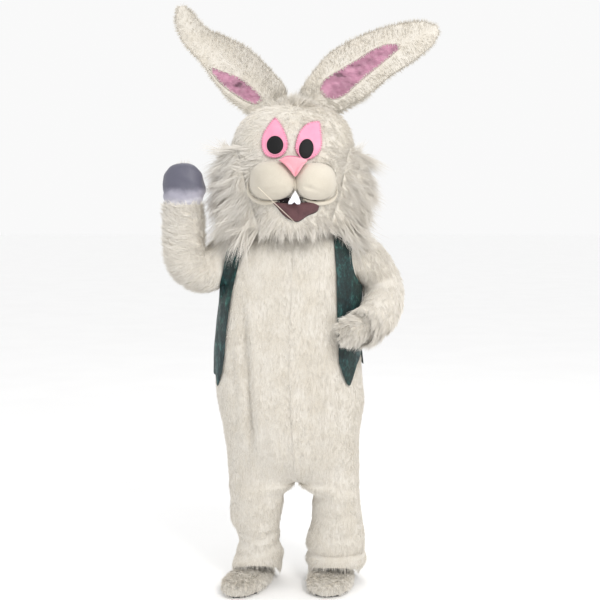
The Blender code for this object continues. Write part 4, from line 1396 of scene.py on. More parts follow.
TINTS = ((0.95, 0.925, 0.885), (0.985, 0.975, 0.955), (1.0, 0.995, 0.985), (0.98, 0.98, 0.98))
FUR_HAIR = hair_material("fur_pile", (0.74, 0.707, 0.645), (0.79, 0.76, 0.708), (0.825, 0.80, 0.757), TINTS)
# darker than the body's fur: partly the ears' deeper cream, partly painted shade
EAR_HAIR = hair_material("ear_pile", (0.60, 0.565, 0.505), (0.665, 0.635, 0.58), (0.72, 0.693, 0.643), TINTS)
LONG_HAIR = hair_material("long_fur_pile", (0.68, 0.645, 0.585), (0.77, 0.74, 0.69), (0.83, 0.805, 0.765), TINTS)
# the backing's colours, darker than the hair: painted shade between the hairs
BACKING = backing_material("fur_backing_painted_shade", (0.73, 0.70, 0.645), (0.66, 0.625, 0.565))
FLEECE = cloth_material("cream_fleece_nap", (0.56, 0.51, 0.42), (0.68, 0.63, 0.54), 420, 0.85, 0.25, 0.0012, spread=0.22)
NOSE_PLUSH = cloth_material("nose_plush_nap", (0.80, 0.32, 0.38), (0.91, 0.43, 0.49), 520, 0.8, 0.25, 0.001, spread=0.25)
FELT = cloth_material("pink_felt_nap", (0.80, 0.29, 0.43), (0.91, 0.40, 0.54), 600, 0.92, 0.12, 0.0009, broad=26, spread=0.24, specular=0.15)
# dark pink thread for the patch stitches, and the painted shadow line along the nose's top edge
STITCH_AND_NOSE_SHADOW = cloth_material("pink_thread_and_nose_shadow", (0.55, 0.17, 0.29), (0.72, 0.28, 0.42), 900, 0.7, 0.1, 0.0004)
EYE_NET = mesh_material()
# the dark colour is painted shade in the creases of the ear's satin
LINING = satin_material("ear_satin_crushed", (0.12, 0.046, 0.074), (0.49, 0.225, 0.33), 0.5, 0.15, 24.0)
MOUTH_CLOTH = cloth_material("mouth_black_cloth", (0.006, 0.004, 0.005), (0.022, 0.012, 0.014), 500, 0.9, 0.1, 0.0008)
LIP_CLOTH = cloth_material("lip_mauve_fleece", (0.075, 0.034, 0.038), (0.165, 0.078, 0.085), 300, 0.8, 0.15, 0.0015, broad=30)
TEETH_FELT = cloth_material("teeth_white_felt", (0.78, 0.78, 0.87), (0.92, 0.92, 0.97), 500, 0.85, 0.2, 0.0008)
THREAD = cloth_material("whisker_thread_pale", (0.72, 0.62, 0.48), (0.90, 0.84, 0.72), 300, 0.4, 0.0, 0.0002)
VELVET_PILE = velvet_material()
SATIN_WHITE = mitt_material()
RUBBER = rubber_material()

# ---------------------------------------------------------------- fur


def seeds(grid, out, wrap, count, rng, weight=None):
    """Random places on a sheet, even by area: place, outward way, share down and over."""
    if wrap:
        grid = np.concatenate([grid, grid[:, :1]], axis=1)
        out = np.concatenate([out, out[:, :1]], axis=1)
    a, b, c, d = grid[:-1, :-1], grid[:-1, 1:], grid[1:, 1:], grid[1:, :-1]
    area = np.linalg.norm(np.cross(c - a, d - b), axis=-1) / 2
    if weight is not None:
        area = area * weight((a + b + c + d) / 4)
    pick = rng.choice(area.size, size=count, p=area.ravel() / area.sum())
    r, q = np.divmod(pick, area.shape[1])
    s, t = rng.random(count)[:, None], rng.random(count)[:, None]

    def at(field):
        top = field[r, q] * (1 - s) + field[r, q + 1] * s
        low = field[r + 1, q] * (1 - s) + field[r + 1, q + 1] * s
        return top * (1 - t) + low * t

    point, normal = at(grid), at(out)
    normal /= np.maximum(np.linalg.norm(normal, axis=1, keepdims=True), 1e-9)
    return point, normal, (r + t[:, 0]) / area.shape[0], (q + s[:, 0]) / area.shape[1]


def units(v):
    return v / np.maximum(np.linalg.norm(v, axis=-1, keepdims=True), 1e-9)


def hairs(name, roots, first, last, length, width, tint, parts, material_):
    """Many closed hairs in one mesh. Each leaves its root along first and ends along last."""
    count = len(roots)
    side = units(np.cross(first, np.array([0.31, 0.22, 0.92])))
    up = np.cross(first, side)
    length, width = length[:, None], width[:, None]
    rows, heights = [], []
    stops = {1: (0.0,), 2: (0.0, 0.5), 3: (0.0, 0.36, 0.7)}[parts]
    for t in stops:
        centre = roots + length * (first * t + (last - first) * t * t / 2)
        radius = width / 2 * (1 - t) ** 0.55
        for turn in (0, 2 * math.pi / 3, 4 * math.pi / 3):
            rows.append(centre + radius * (math.cos(turn) * side + math.sin(turn) * up))
            heights.append(t)
    rows.append(roots + length * (first + last) / 2)
    heights.append(1.0)
    each = len(rows)
    verts = np.stack(rows, axis=1).reshape(-1, 3)
    verts[:, 2] = np.maximum(verts[:, 2], 0.4)
    one = [(0, 2, 1)]
    for k in range(parts - 1):
        for c in range(3):
            d = (c + 1) % 3
            one += [(3 * k + c, 3 * k + d, 3 * k + 3 + d), (3 * k + c, 3 * k + 3 + d, 3 * k + 3 + c)]
    top = 3 * (parts - 1)
    one += [(top + c, top + (c + 1) % 3, each - 1) for c in range(3)]
    one = np.array(one)
    faces = (np.arange(count)[:, None, None] * each + one[None]).reshape(-1, 3)
    mesh = bpy.data.meshes.new(name)
    mesh.from_pydata(to_row(verts).tolist(), [], faces.tolist())
    places = mesh.uv_layers.new(name="OFBake")
    off = np.array([-0.004, 0.0, 0.004] * parts + [0.0])
    u = np.clip(tint, 0.02, 0.98)[:, None] + off[None]
    v = np.repeat(0.02 + 0.96 * np.array(heights)[None], count, axis=0)
    by_point = np.stack([u.ravel(), v.ravel()], axis=1)
    index = np.empty(len(mesh.loops), np.int32)
    mesh.loops.foreach_get("vertex_index", index)
    places.data.foreach_set("uv", by_point[index].astype(np.float32).ravel())
    return finish_mesh(bpy.data.objects.new(name, mesh), material_, smooth=False)


def pelt(name, sheets, count, seed, flow, length, width=2.3, lift=(22, 8), swirl=16, clump=16,
         pull=0.45, keep=None, parts=1, droop=0.25, tint=0.0, weight=None,
         material_=None, grow=None, sway=None, vary=(0.13, 0.16), sink=1.1):
    """Fur on one or more sheets (grid, outward ways, wrap), joined in one mesh."""
    rng = np.random.default_rng(seed)
    areas = []
    for grid, out, wrap in sheets:
        g = np.concatenate([grid, grid[:, :1]], axis=1) if wrap else grid
        areas.append(np.linalg.norm(np.cross(g[1:, 1:] - g[:-1, :-1], g[1:, :-1] - g[:-1, 1:]), axis=-1).sum())
    roots, normals = [], []
    for (grid, out, wrap), area in zip(sheets, areas):
        share = int(count * area / sum(areas))
        p, n, _, _ = seeds(grid, out, wrap, share, rng, weight)
        roots.append(p)
        normals.append(n)
    roots, normals = np.concatenate(roots), np.concatenate(normals)
    if keep is not None:
        kept = keep(roots, normals)
        roots, normals = roots[kept], normals[kept]
    total = len(roots)
    middles = roots[rng.choice(total, size=max(total // clump, 1), replace=False)]
    tree = kdtree.KDTree(len(middles))
    for k, middle in enumerate(middles):
        tree.insert(middle, k)
    tree.balance()
    near = np.array([tree.find(root)[1] for root in roots])
    ways = flow(roots, normals)
    ways = units(ways - (ways * normals).sum(-1, keepdims=True) * normals)
    slow = waves(seed + 5, 90)(roots)
    turn = np.radians(swirl) * (0.9 * slow + rng.normal(size=len(middles))[near] * 0.8 + 0.35 * rng.normal(size=total))
    ways = ways * np.cos(turn)[:, None] + np.cross(normals, ways) * np.sin(turn)[:, None]
    rise = np.radians(np.clip(lift[0] + lift[1] * (0.7 * rng.normal(size=len(middles))[near] + 0.6 * rng.normal(size=total)), 4, 85))[:, None]
    first = normals * np.sin(rise) + ways * np.cos(rise)
    size = length * (1 + vary[0] * rng.normal(size=len(middles))[near] + vary[1] * rng.normal(size=total))
    if grow is not None:
        size = size * grow(roots)
    size = np.clip(size, 0.35 * length, 1.7 * length)
    last = first + np.array([0, 0, -droop])
    if sway is not None:
        last = last + sway(roots, normals, rng.normal(size=(len(middles), 3))[near], rng)
    gather = middles[near] - roots
    gather -= (gather * normals).sum(-1, keepdims=True) * normals
    last = last + 2 * pull * gather / size[:, None]
    if parts == 1:
        first = units(first + last) * 1.0
        last = first
    tints = 0.52 + 0.09 * rng.normal(size=len(middles))[near] + 0.11 * rng.normal(size=total) + 0.10 * waves(seed + 9, 160)(roots) + tint
    wide = width * (0.8 + 0.4 * rng.random(total))
    sink = max(sink, 0.62 * width + 0.4)
    return hairs(name, roots - sink * normals, first, last, size, wide, tints, parts, material_ or FUR_HAIR)


def down_flow(points, normals):
    return np.tile(np.array([0.0, 0.0, -1.0]), (len(points), 1))


# ---------------------------------------------------------------- the part's own sheets

panels = make_suit()
make_sleeve("sleeve_right", -1, panels, SLEEVE_RIGHT, 12)
make_sleeve("sleeve_left", 1, panels, SLEEVE_LEFT, 12)
make_mitt("mitt_right", MITT_RIGHT, (1, 0, 0), THUMB_RIGHT, 12)
make_mitt("mitt_left", MITT_LEFT, (0, 0, 1), THUMB_LEFT, 13)
make_foot("right", FOOT_RIGHT)
make_foot("left", FOOT_LEFT)
make_head()
make_cheek("right", -1)
make_cheek("left", 1)
make_face()
make_vest_front("right", -1, VEST_EDGE_RIGHT, VEST_HEM_RIGHT)
make_vest_front("left", 1, VEST_EDGE_LEFT, VEST_HEM_LEFT)
make_vest_back()


def fine_piece(name, down, over, creases=None):
    outer, inner, wrap = PIECES[name]
    thick = np.linalg.norm(outer - inner, axis=-1).mean()
    outer, inner = finer(outer, down, over, wrap), finer(inner, down, over, wrap)
    if creases is not None:
        way = away(outer, inner)
        move = creases(outer)[..., None] * way
        outer, inner = outer + move, inner + move
    return outer, inner, wrap, thick


# ---------------------------------------------------------------- suit


def vest_over(points, margin=0.0):
    """Which places on the suit lie under the vest."""
    x, y, h = points[:, 0], points[:, 1], points[:, 2]
    back = (y > 0) & (h > VEST_HEM_BACK + margin) & (h < 1380)
    front = np.zeros(len(points), bool)
    for side, edge, hem in ((-1, VEST_EDGE_RIGHT, VEST_HEM_RIGHT), (1, VEST_EDGE_LEFT, VEST_HEM_LEFT)):
        at = np.interp(h, [r[0] for r in edge], [r[1] for r in edge])
        wide = np.interp(h, [r[0] for r in sorted(BODY)], [r[2 if side > 0 else 1] for r in sorted(BODY)])
        across = np.clip((x - at) / np.where(np.abs(wide - at) < 1, side, wide - at), 0, 1)
        low = np.interp(across, [r[0] for r in hem], [r[1] for r in hem])
        inside = (x - at) * side > margin
        front |= (y <= 0) & inside & (h > low + margin) & (h < 1372)
    return back | front


SUIT = ("suit_front_right", "suit_front_left", "suit_back_right", "suit_back_left")
suit_creases = waves(11, 70)
suit_wide = waves(12, 210)


LONG_FOLDS = [
    ((-196, 1120), (-150, 470), 14, 16.0), ((-236, 980), (-205, 520), 12, 6.0), ((168, 900), (150, 470), 16, 6.5),
    ((-40, 640), (-22, 400), 12, 5.0), ((70, 560), (40, 400), 12, 4.5),
]


def suit_folds(points):
    """Soft creases in the loose cloth, more of them low down where it bunches."""
    h = points[..., 2]
    low = np.clip((560 - h) / 420, 0, 1) * np.clip((h - 40) / 60, 0, 1)
    high = np.clip((1140 - h) / 200, 0, 1)
    flat = points * np.array([1.0, 1.0, 0.35])
    bunch = points * np.array([0.35, 0.35, 1.6])
    out = high * (1.6 * suit_wide(flat) + 1.2 * suit_creases(flat)) + low * 2.0 * suit_creases(bunch)
    out = np.clip(out, -3.5, 5.5)
    # the front is drawn into long soft folds at each side of the belly
    for (x1, h1), (x2, h2), wide, deep in LONG_FOLDS:
        along = (h1 - h) / (h1 - h2)
        off = points[..., 0] - (x1 + (x2 - x1) * along)
        fade = np.clip(4 * along, 0, 1) * np.clip(4 * (1 - along), 0, 1) * (points[..., 1] < 0)
        out = out + fade * deep * (0.7 * np.exp(-(((off - 1.9 * wide * np.sign(x1)* -1) / (1.5 * wide)) ** 2)) - np.exp(-((off / wide) ** 2)))
    # the left leg lies in a roll over the foot, with a crease above it
    left = np.clip((points[..., 0] - 20) / 30, 0, 1) * np.clip((60 - points[..., 1]) / 60, 0.25, 1)
    out = out + left * (7.0 * np.exp(-(((h - 82) / 22) ** 2)) - 8.0 * np.exp(-(((h - 122) / 9) ** 2)))
    right = np.clip((-20 - points[..., 0]) / 30, 0, 1)
    sag = h - 0.35 * points[..., 0]
    return out + right * (3.5 * np.exp(-(((sag - 205) / 16) ** 2)) - 4.0 * np.exp(-(((sag - 238) / 9) ** 2)))


def hem_growth(points):
    """The pile hangs a little longer over the turned-up hems."""
    return 1.0 + 0.35 * np.clip((70 - points[:, 2]) / 40, 0, 1)


def middle_line(grid):
    """Heights and places of the edge at which a front panel meets its neighbour."""
    edge = min((grid[:, 0], grid[:, -1]), key=lambda e: np.abs(e[:, 0]).mean())
    order = np.argsort(edge[:, 2])
    return edge[order, 2], edge[order, 0]


FINE_SUIT = {}
for k, name in enumerate(SUIT):
    outer, inner, wrap, _ = fine_piece(name, 3, 4, lambda p: suit_folds(p) * np.clip((1150 - p[..., 2]) / 60, 0, 1))
    FINE_SUIT[name] = (outer, sheet_normals(outer, wrap, away(outer, inner)), wrap)
    seam_h, seam_x = middle_line(outer)

    def seam_weight(centres):
        """The pile stands closer along the middle seam, so that it closes over it."""
        off = centres[..., 0] - np.interp(centres[..., 2], seam_h, seam_x)
        return 1.0 + 1.1 * np.exp(-((off / 7) ** 2))

    def suit_flow(points, normals):
        """The nap runs down, and right beside the middle seam a little over it."""
        off = points[:, 0] - np.interp(points[:, 2], seam_h, seam_x)
        lean = -np.sign(off) * 0.2 * np.exp(-((off / 9) ** 2)) * (points[:, 1] < 0)
        return np.stack([lean, 0 * off, -np.ones(len(off))], axis=1)

    base = shell(name + "_cloth", outer, inner, wrap, BACKING)
    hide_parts(name, name.replace("suit", "trousers"))

    def bare(points, normals):
        return ~vest_over(points, 9.0) & (points[:, 2] < 1386)

    grown = pelt(
        name + "_pile", [FINE_SUIT[name]], 24800 if "front" in name else 14500, 100 + k, suit_flow, 21.0,
        width=1.5 if "front" in name else 2.0, lift=(14, 2.6), swirl=6, clump=5, pull=0.1, keep=bare, droop=0.15,
        grow=hem_growth, vary=(0.06, 0.2), weight=seam_weight if "front" in name else None,
    )



def middle_edge(piece):
    """The edge of a front panel at the middle seam, with its outward ways."""
    grid, out, _ = piece
    column = 0 if np.abs(grid[:, 0, 0]).mean() < np.abs(grid[:, -1, 0]).mean() else -1
    return grid[:, column], out[:, column]


# the pile that closes over the middle seam
(right_edge, right_out), (left_edge, left_out) = (middle_edge(FINE_SUIT[n]) for n in SUIT[:2])
joined = np.linalg.norm(right_edge - left_edge, axis=1) < 12
pelt(
    "suit_seam_pile", [(
        np.stack([right_edge[joined], left_edge[joined]], axis=1),
        np.stack([right_out[joined], left_out[joined]], axis=1), False,
    )], 1600, 140, down_flow, 21.0, width=1.8, lift=(15, 3), swirl=6, clump=5, pull=0.1, keep=bare, droop=0.15,
    vary=(0.06, 0.2),
)

# ---------------------------------------------------------------- sleeves


def along_sleeve(table, gravity, twist):
    path = np.array([row[:3] for row in table], float)
    ways = units(np.gradient(path, axis=0))

    def flow(points, normals):
        far = np.linalg.norm(points[:, None] - path[None], axis=2)
        near = np.exp(-((far / 45) ** 2)) + 1e-9
        way = (near[..., None] * ways[None]).sum(1) / near.sum(1, keepdims=True)
        return way + np.array([0, 0, -gravity]) + twist * np.cross(normals, way)

    return flow


def sleeve_growth(points):
    """The hair is pressed down where the arm meets the vest."""
    x, y, h = points[:, 0], points[:, 1], points[:, 2]
    near_vest = np.clip((306 - np.abs(x)) / 30, 0, 1) * (h < 1330) * (y < 60)
    return 1.0 - np.where(x < 0, 0.68, 0.1) * near_vest


for k, (side, table, gravity, twist) in enumerate((("right", SLEEVE_RIGHT, 0.55, 0.55), ("left", SLEEVE_LEFT, 0.5, -0.2))):
    name = "sleeve_" + side
    folds = waves(31 + k, 55)
    outer, inner, wrap, _ = fine_piece(name, 4, 4, lambda p: 1.6 * folds(p * np.array([1, 1, 1.3])))
    base = shell(name + "_cloth", outer, inner, wrap, BACKING)
    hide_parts(name)
    pile = pelt(
        name + "_pile", [(outer, sheet_normals(outer, wrap, away(outer, inner)), wrap)], 13000, 200 + k, along_sleeve(table, gravity, twist), 30.0,
        width=2.0, lift=(17, 4.5), swirl=12, clump=9, pull=0.26, droop=0.35, grow=sleeve_growth, vary=(0.08, 0.17),
        keep=lambda p, n: (p[:, 0] < -279) | (p[:, 0] > 0) | (p[:, 1] > 0) | (p[:, 2] > 1335),
    )
    # hair that runs past the end of the sleeve and hangs over the mitt
    end = outer[-1].mean(axis=0)
    ahead = unit(end - outer[-12].mean(axis=0))
    fringe = pelt(
        name + "_cuff", [(outer[-7:], away(outer, inner)[-7:], wrap)], 2000 if side == "left" else 900, 220 + k,
        lambda p, n: np.tile(ahead + np.array([0, 0, -0.25 if side == "left" else 0.0]), (len(p), 1)),
        54.0 if side == "left" else 26.0,
        width=2.3, lift=(8, 5), swirl=10, clump=14, pull=0.45, droop=0.3 if side == "left" else 0.1,
    )

# ---------------------------------------------------------------- feet

def foot_flow(points, normals):
    return np.tile(np.array([0.0, -0.7, -0.7]), (len(points), 1))


for k, side in enumerate(("right", "left")):
    name = "foot_" + side
    dents = waves(41 + k, 60)
    outer, inner, wrap, _ = fine_piece(name, 3, 3)
    base = shell(name + "_cloth", outer, inner, wrap, BACKING)
    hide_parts(name)
    middle = outer.mean(axis=(0, 1)) * np.array([1, 1, 0])
    normals = sheet_normals(outer, wrap, away(outer, middle))
    pile = pelt(
        name + "_pile", [(outer, normals, wrap)], 11000, 250 + k, foot_flow, 18.0,
        width=2.1, lift=(30, 10), swirl=26, clump=12, pull=0.45, droop=0.15, vary=(0.14, 0.16),
        keep=lambda p, n: (p[:, 2] > 9) & (n[:, 2] > -0.3), weight=lambda c: 0.35 + (c[..., 1] < -40),
    )

# ---------------------------------------------------------------- head


def face_bare(points, spread):
    """Which places on the head lie under the felt, the muzzle, the nose or the mouth."""
    x, y, h = points[:, 0], points[:, 1], points[:, 2]
    front = y < -60

    def inside(outline, grow):
        outline = np.array(outline, float)
        middle = outline.mean(axis=0)
        way = outline - middle
        ring = middle + way * (1 + grow / np.linalg.norm(way, axis=1, keepdims=True))
        found = np.zeros(len(x), bool)
        for (x1, h1), (x2, h2) in zip(ring, np.roll(ring, -1, axis=0)):
            crosses = (h1 > h) != (h2 > h)
            where = (x2 - x1) * (h - h1) / np.where(h2 == h1, 1e-9, h2 - h1) + x1
            found ^= crosses & (x < where)
        return found

    covered = inside(PATCH_RIGHT, spread - 3.5) | inside(PATCH_LEFT, spread - 3.5)
    covered |= inside(MOUTH, spread - 3) | inside(NOSE, spread)
    for pad in (PAD_RIGHT, PAD_LEFT):
        off = (np.abs(x - pad[0]) / (pad[2] + spread - 4)) ** PAD_SQUARE + (np.abs(h - pad[1]) / (pad[3] + spread - 4)) ** PAD_SQUARE
        covered |= off < 1
    return front & covered


def head_flow(points, normals):
    """The nap runs from the crown down and outward, and back from the face."""
    x, y, h = points[:, 0], points[:, 1], points[:, 2]
    out = np.stack([x * 0.006, 0.15 + 0 * x, -np.ones(len(x))], axis=1)
    high = np.clip((h - 1640) / 120, 0, 1)[:, None]
    side = np.stack([np.sign(x) * np.clip(np.abs(x) / 120, 0, 1), 0 * x, 0 * x], axis=1)
    return out * (1 - 0.6 * high) + side * 0.9


def angle_of(points):
    return np.degrees(np.arctan2(points[:, 0], -points[:, 1]))


def under_cheek(points):
    turn, h = angle_of(points), points[:, 2]
    first = np.interp(h, [r[0] for r in CHEEK], [r[1] for r in CHEEK])
    last = np.interp(h, [r[0] for r in CHEEK], [r[2] for r in CHEEK])
    side = np.abs(turn)
    return (side > first + 6) & (side < last - 6) & (h > 1345) & (h < 1638)


HEAD_FINE = {}
for k, name in enumerate(("head_front", "head_back")):
    outer, inner, wrap, _ = fine_piece(name, 4, 4)
    if name == "head_front":
        lumps = waves(51, 90)
        outer[..., 1] += 0.0
    HEAD_FINE[name] = (outer, away(outer, inner), wrap)
    base = shell(name + "_cloth", outer, inner, wrap, BACKING)
    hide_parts(name)

    def woolly(points, normals):
        return ~face_bare(points, 2.0) & ~under_cheek(points)

    def head_growth(points):
        x, y, h = points[:, 0], points[:, 1], points[:, 2]
        near_face = np.clip((-y - 120) / 60, 0, 1) * np.exp(-(((h - 1640) / 75) ** 2)) * np.exp(-((x / 110) ** 2))
        crown = 0.5 * np.clip((h - 1770) / 30, 0, 1)
        rear = -0.05 * np.clip(y / 80, 0, 1)
        return 1.0 - 0.45 * near_face + crown + rear

    pile = pelt(
        name + "_pile", [HEAD_FINE[name]], 17500 if name == "head_front" else 13500, 300 + k, head_flow, 24.0,
        width=1.9, lift=(27, 8), swirl=28, clump=9, pull=0.36, keep=woolly, droop=0.25, grow=head_growth,
    )

# the tuft that fills the valley between the ears
pelt(
    "crown_pile", [HEAD_FINE["head_front"], HEAD_FINE["head_back"]], 2600, 320,
    lambda p, n: np.stack([0.004 * p[:, 0], 0.004 * p[:, 1], 0 * p[:, 0]], axis=1) + 0.2 * n, 46.0,
    width=2.4, lift=(64, 12), swirl=60, clump=12, pull=0.6, droop=0.3,
    weight=lambda c: np.exp(-((c[..., 0] / 46) ** 2) - ((c[..., 1] / 50) ** 2)) * (c[..., 2] > 1770),
    grow=lambda p: 0.6 + 0.5 * np.exp(-((p[:, 0] / 40) ** 2)),
)

# fluff that starts beside the muzzle and runs back over the fronts of the cheeks
MUZZLE_MIDDLE = np.array([0.0, -230.0, 1545.0])


def beside_muzzle(points, normals):
    turn, h = np.abs(angle_of(points)), points[:, 2]
    first = np.interp(h, [r[0] for r in CHEEK], [r[1] for r in CHEEK])
    return (turn > 27) & (turn < first + 16) & (h > 1335) & (h < 1650) & ~face_bare(points, 4.0)


def muzzle_flow(points, normals):
    away_ = points - MUZZLE_MIDDLE
    away_[:, 1] = 0.9 * np.abs(away_[:, 0])
    away_[:, 2] = 0.75 * away_[:, 2] - 55
    return away_


pelt(
    "face_locks", [HEAD_FINE["head_front"]], 8200, 340, muzzle_flow, 42.0,
    width=2.3, lift=(26, 10), swirl=20, clump=18, pull=0.55, keep=beside_muzzle, parts=2, droop=0.5,
    material_=LONG_HAIR,
    grow=lambda p: 0.55 + 0.6 * np.clip((np.abs(angle_of(p)) - 30) / 25, 0, 1),
    sway=lambda p, n, common, rng: 0.34 * common + 0.12 * rng.normal(size=(len(p), 3)),
)

# the long wisps under the chin
chin_outer, chin_out, _ = HEAD_FINE["head_front"]


def chin_keep(points, normals):
    turn = np.abs(angle_of(points))
    return (turn < 66) & (points[:, 2] < 1408) & ~face_bare(points, 1.0)


def chin_flow(points, normals):
    x = points[:, 0]
    return np.stack([0.0045 * x, -0.25 + 0 * x, -np.ones(len(x))], axis=1)


pelt(
    "chin_pile", [(chin_outer[:16], chin_out[:16], False)], 8600, 330, chin_flow, 48.0,
    width=2.2, lift=(24, 10), swirl=22, clump=16, pull=0.55, keep=chin_keep, parts=2, droop=0.5,
    material_=LONG_HAIR,
)

# ---------------------------------------------------------------- cheeks


def cheek_base(side, sign):
    """The inner body of a cheek: what the long wisps grow from."""
    outer, inner, _ = PIECES["cheek_" + side]
    rows, columns = outer.shape[:2]
    over = np.array([0.06, 0.8, 1.0, 1.0, 0.8, 0.06])[:columns]
    down = np.clip(np.minimum(np.arange(rows), np.arange(rows)[::-1]) / 1.5, 0.15, 1)
    soft = inner + (outer - inner) * (0.46 * over[None] * down[:, None])[..., None]
    soft = soft + 1.2 * away(outer, inner)
    return finer(soft, 4, 5, False), finer(inner, 4, 5, False)


def cheek_flow(sign):
    def flow(points, normals):
        x, y, h = points[:, 0], points[:, 1], points[:, 2]
        rise = np.clip((h - 1480) / 150, -1, 1)
        turn = np.radians(angle_of(points))
        out = np.stack([np.sin(turn), -np.cos(turn) * 0.4, 0 * x], axis=1)
        up = np.stack([0 * x, 0 * x, np.where(rise > 0, 0.35 * rise, 1.15 * rise) - 0.45], axis=1)
        side = np.stack([sign * 0.75 + 0 * x, 0.25 + 0 * x, 0 * x], axis=1)
        return out * 0.35 + up + side
    return flow


def cheek_growth(points):
    h = points[:, 2]
    return 0.82 + 0.36 * np.clip((1480 - h) / 120, 0, 1) + 0.35 * np.clip((h - 1590) / 40, 0, 1)


def cheek_sway(points, normals, common, rng):
    """Whole locks curl and cross, and each hair a little on its own."""
    return 0.55 * common + 0.16 * rng.normal(size=(len(points), 3))


for k, (side, sign) in enumerate((("right", -1), ("left", 1))):
    soft, inner = cheek_base(side, sign)
    # the sheet's edges run down to the head, so the body has no open rim
    base = shell("cheek_%s_body" % side, soft, inner, False, BACKING)
    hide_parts("cheek_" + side)
    pelt(
        "cheek_%s_locks" % side, [(soft, away(soft, inner), False)], 6400, 400 + k, cheek_flow(sign), 74.0,
        width=2.5, lift=(36, 12), swirl=24, clump=22, pull=0.62, parts=2, droop=0.5, tint=0.1,
        material_=LONG_HAIR, grow=cheek_growth, sway=cheek_sway,
    )

# ---------------------------------------------------------------- ears


def smooth_row(table, k):
    """A row of an ear's table at a place between its rows, on a smooth curve."""
    table = np.array(table, float)
    k = min(max(k, 0.0), len(table) - 1.0)
    i = min(int(k), len(table) - 2)
    t = k - i
    p = [table[min(max(i + d, 0), len(table) - 1)] for d in (-1, 0, 1, 2)]
    return 0.5 * (2 * p[1] + (p[2] - p[0]) * t + (2 * p[0] - 5 * p[1] + 4 * p[2] - p[3]) * t * t
                  + (3 * p[1] - p[0] - 3 * p[2] + p[3]) * t**3)


def ear_frame(table, k):
    here, ahead, behind = smooth_row(table, k), smooth_row(table, k + 0.35), smooth_row(table, k - 0.35)
    along = unit(ahead[:3] - behind[:3])
    face = unit(np.array([0, -1, 0]) - np.dot([0, -1, 0], along) * along)
    return here[:3], along, np.cross(along, face), face, here[3:]


def ear_rings(table, count):
    rings, ks = [], []
    stations = np.linspace(0, len(table) - 1, (len(table) - 1) * 4 + 1)
    for n, k in enumerate(stations):
        centre, along, across, face, (wide, thick, cup) = ear_frame(table, k)
        ring = []
        for i in range(count):
            turn = 2 * math.pi * i / count
            u, v = math.cos(turn), math.sin(turn)
            point = centre + wide * u * across + (cup * u * u + thick * v) * face
            floor = dome_height(point[0], point[1]) + 2.6 if point[2] < 1850 else -1e9
            if point[2] < floor:
                point[2] = floor
            ring.append(point)
        rings.append(np.array(ring))
        ks.append(k)
    # the tip closes in a round end
    last, along = rings[-1], unit(rings[-1].mean(axis=0) - rings[-3].mean(axis=0))
    middle = last.mean(axis=0)
    reach = np.linalg.norm(last - middle, axis=1).max() * 0.55
    for t in (0.35, 0.7, 0.92):
        rings.append(middle + (last - middle) * math.sqrt(1 - t * t) + along * reach * t)
        ks.append(ks[-1] + 0.01)
    return np.array(rings), np.array(ks)


# place along the ear, then from where to where across it
LINING_RIGHT = [
    (1.45, -0.42, -0.16), (1.7, -0.60, -0.08), (2.2, -0.72, -0.04), (3.0, -0.79, -0.05),
    (3.5, -0.84, -0.18), (4.0, -0.87, -0.36), (4.5, -0.88, -0.58), (4.8, -0.86, -0.76),
]
LINING_LEFT = [
    (1.5, -0.20, 0.12), (1.75, -0.40, 0.36), (2.1, -0.46, 0.52), (2.6, -0.40, 0.54), (3.2, -0.33, 0.46),
    (4.0, -0.30, 0.42), (4.8, -0.34, 0.38), (5.4, -0.30, 0.28), (5.9, -0.10, 0.10),
]


def lining_range(lining, k):
    ks = [r[0] for r in lining]
    if not ks[0] <= k <= ks[-1]:
        return None
    return np.interp(k, ks, [r[1] for r in lining]), np.interp(k, ks, [r[2] for r in lining])


def ear_front(table, k, s):
    centre, along, across, face, (wide, thick, cup) = ear_frame(table, k)
    return centre + wide * s * across + (cup * s * s + thick * math.sqrt(max(1 - s * s, 0))) * face, face, along


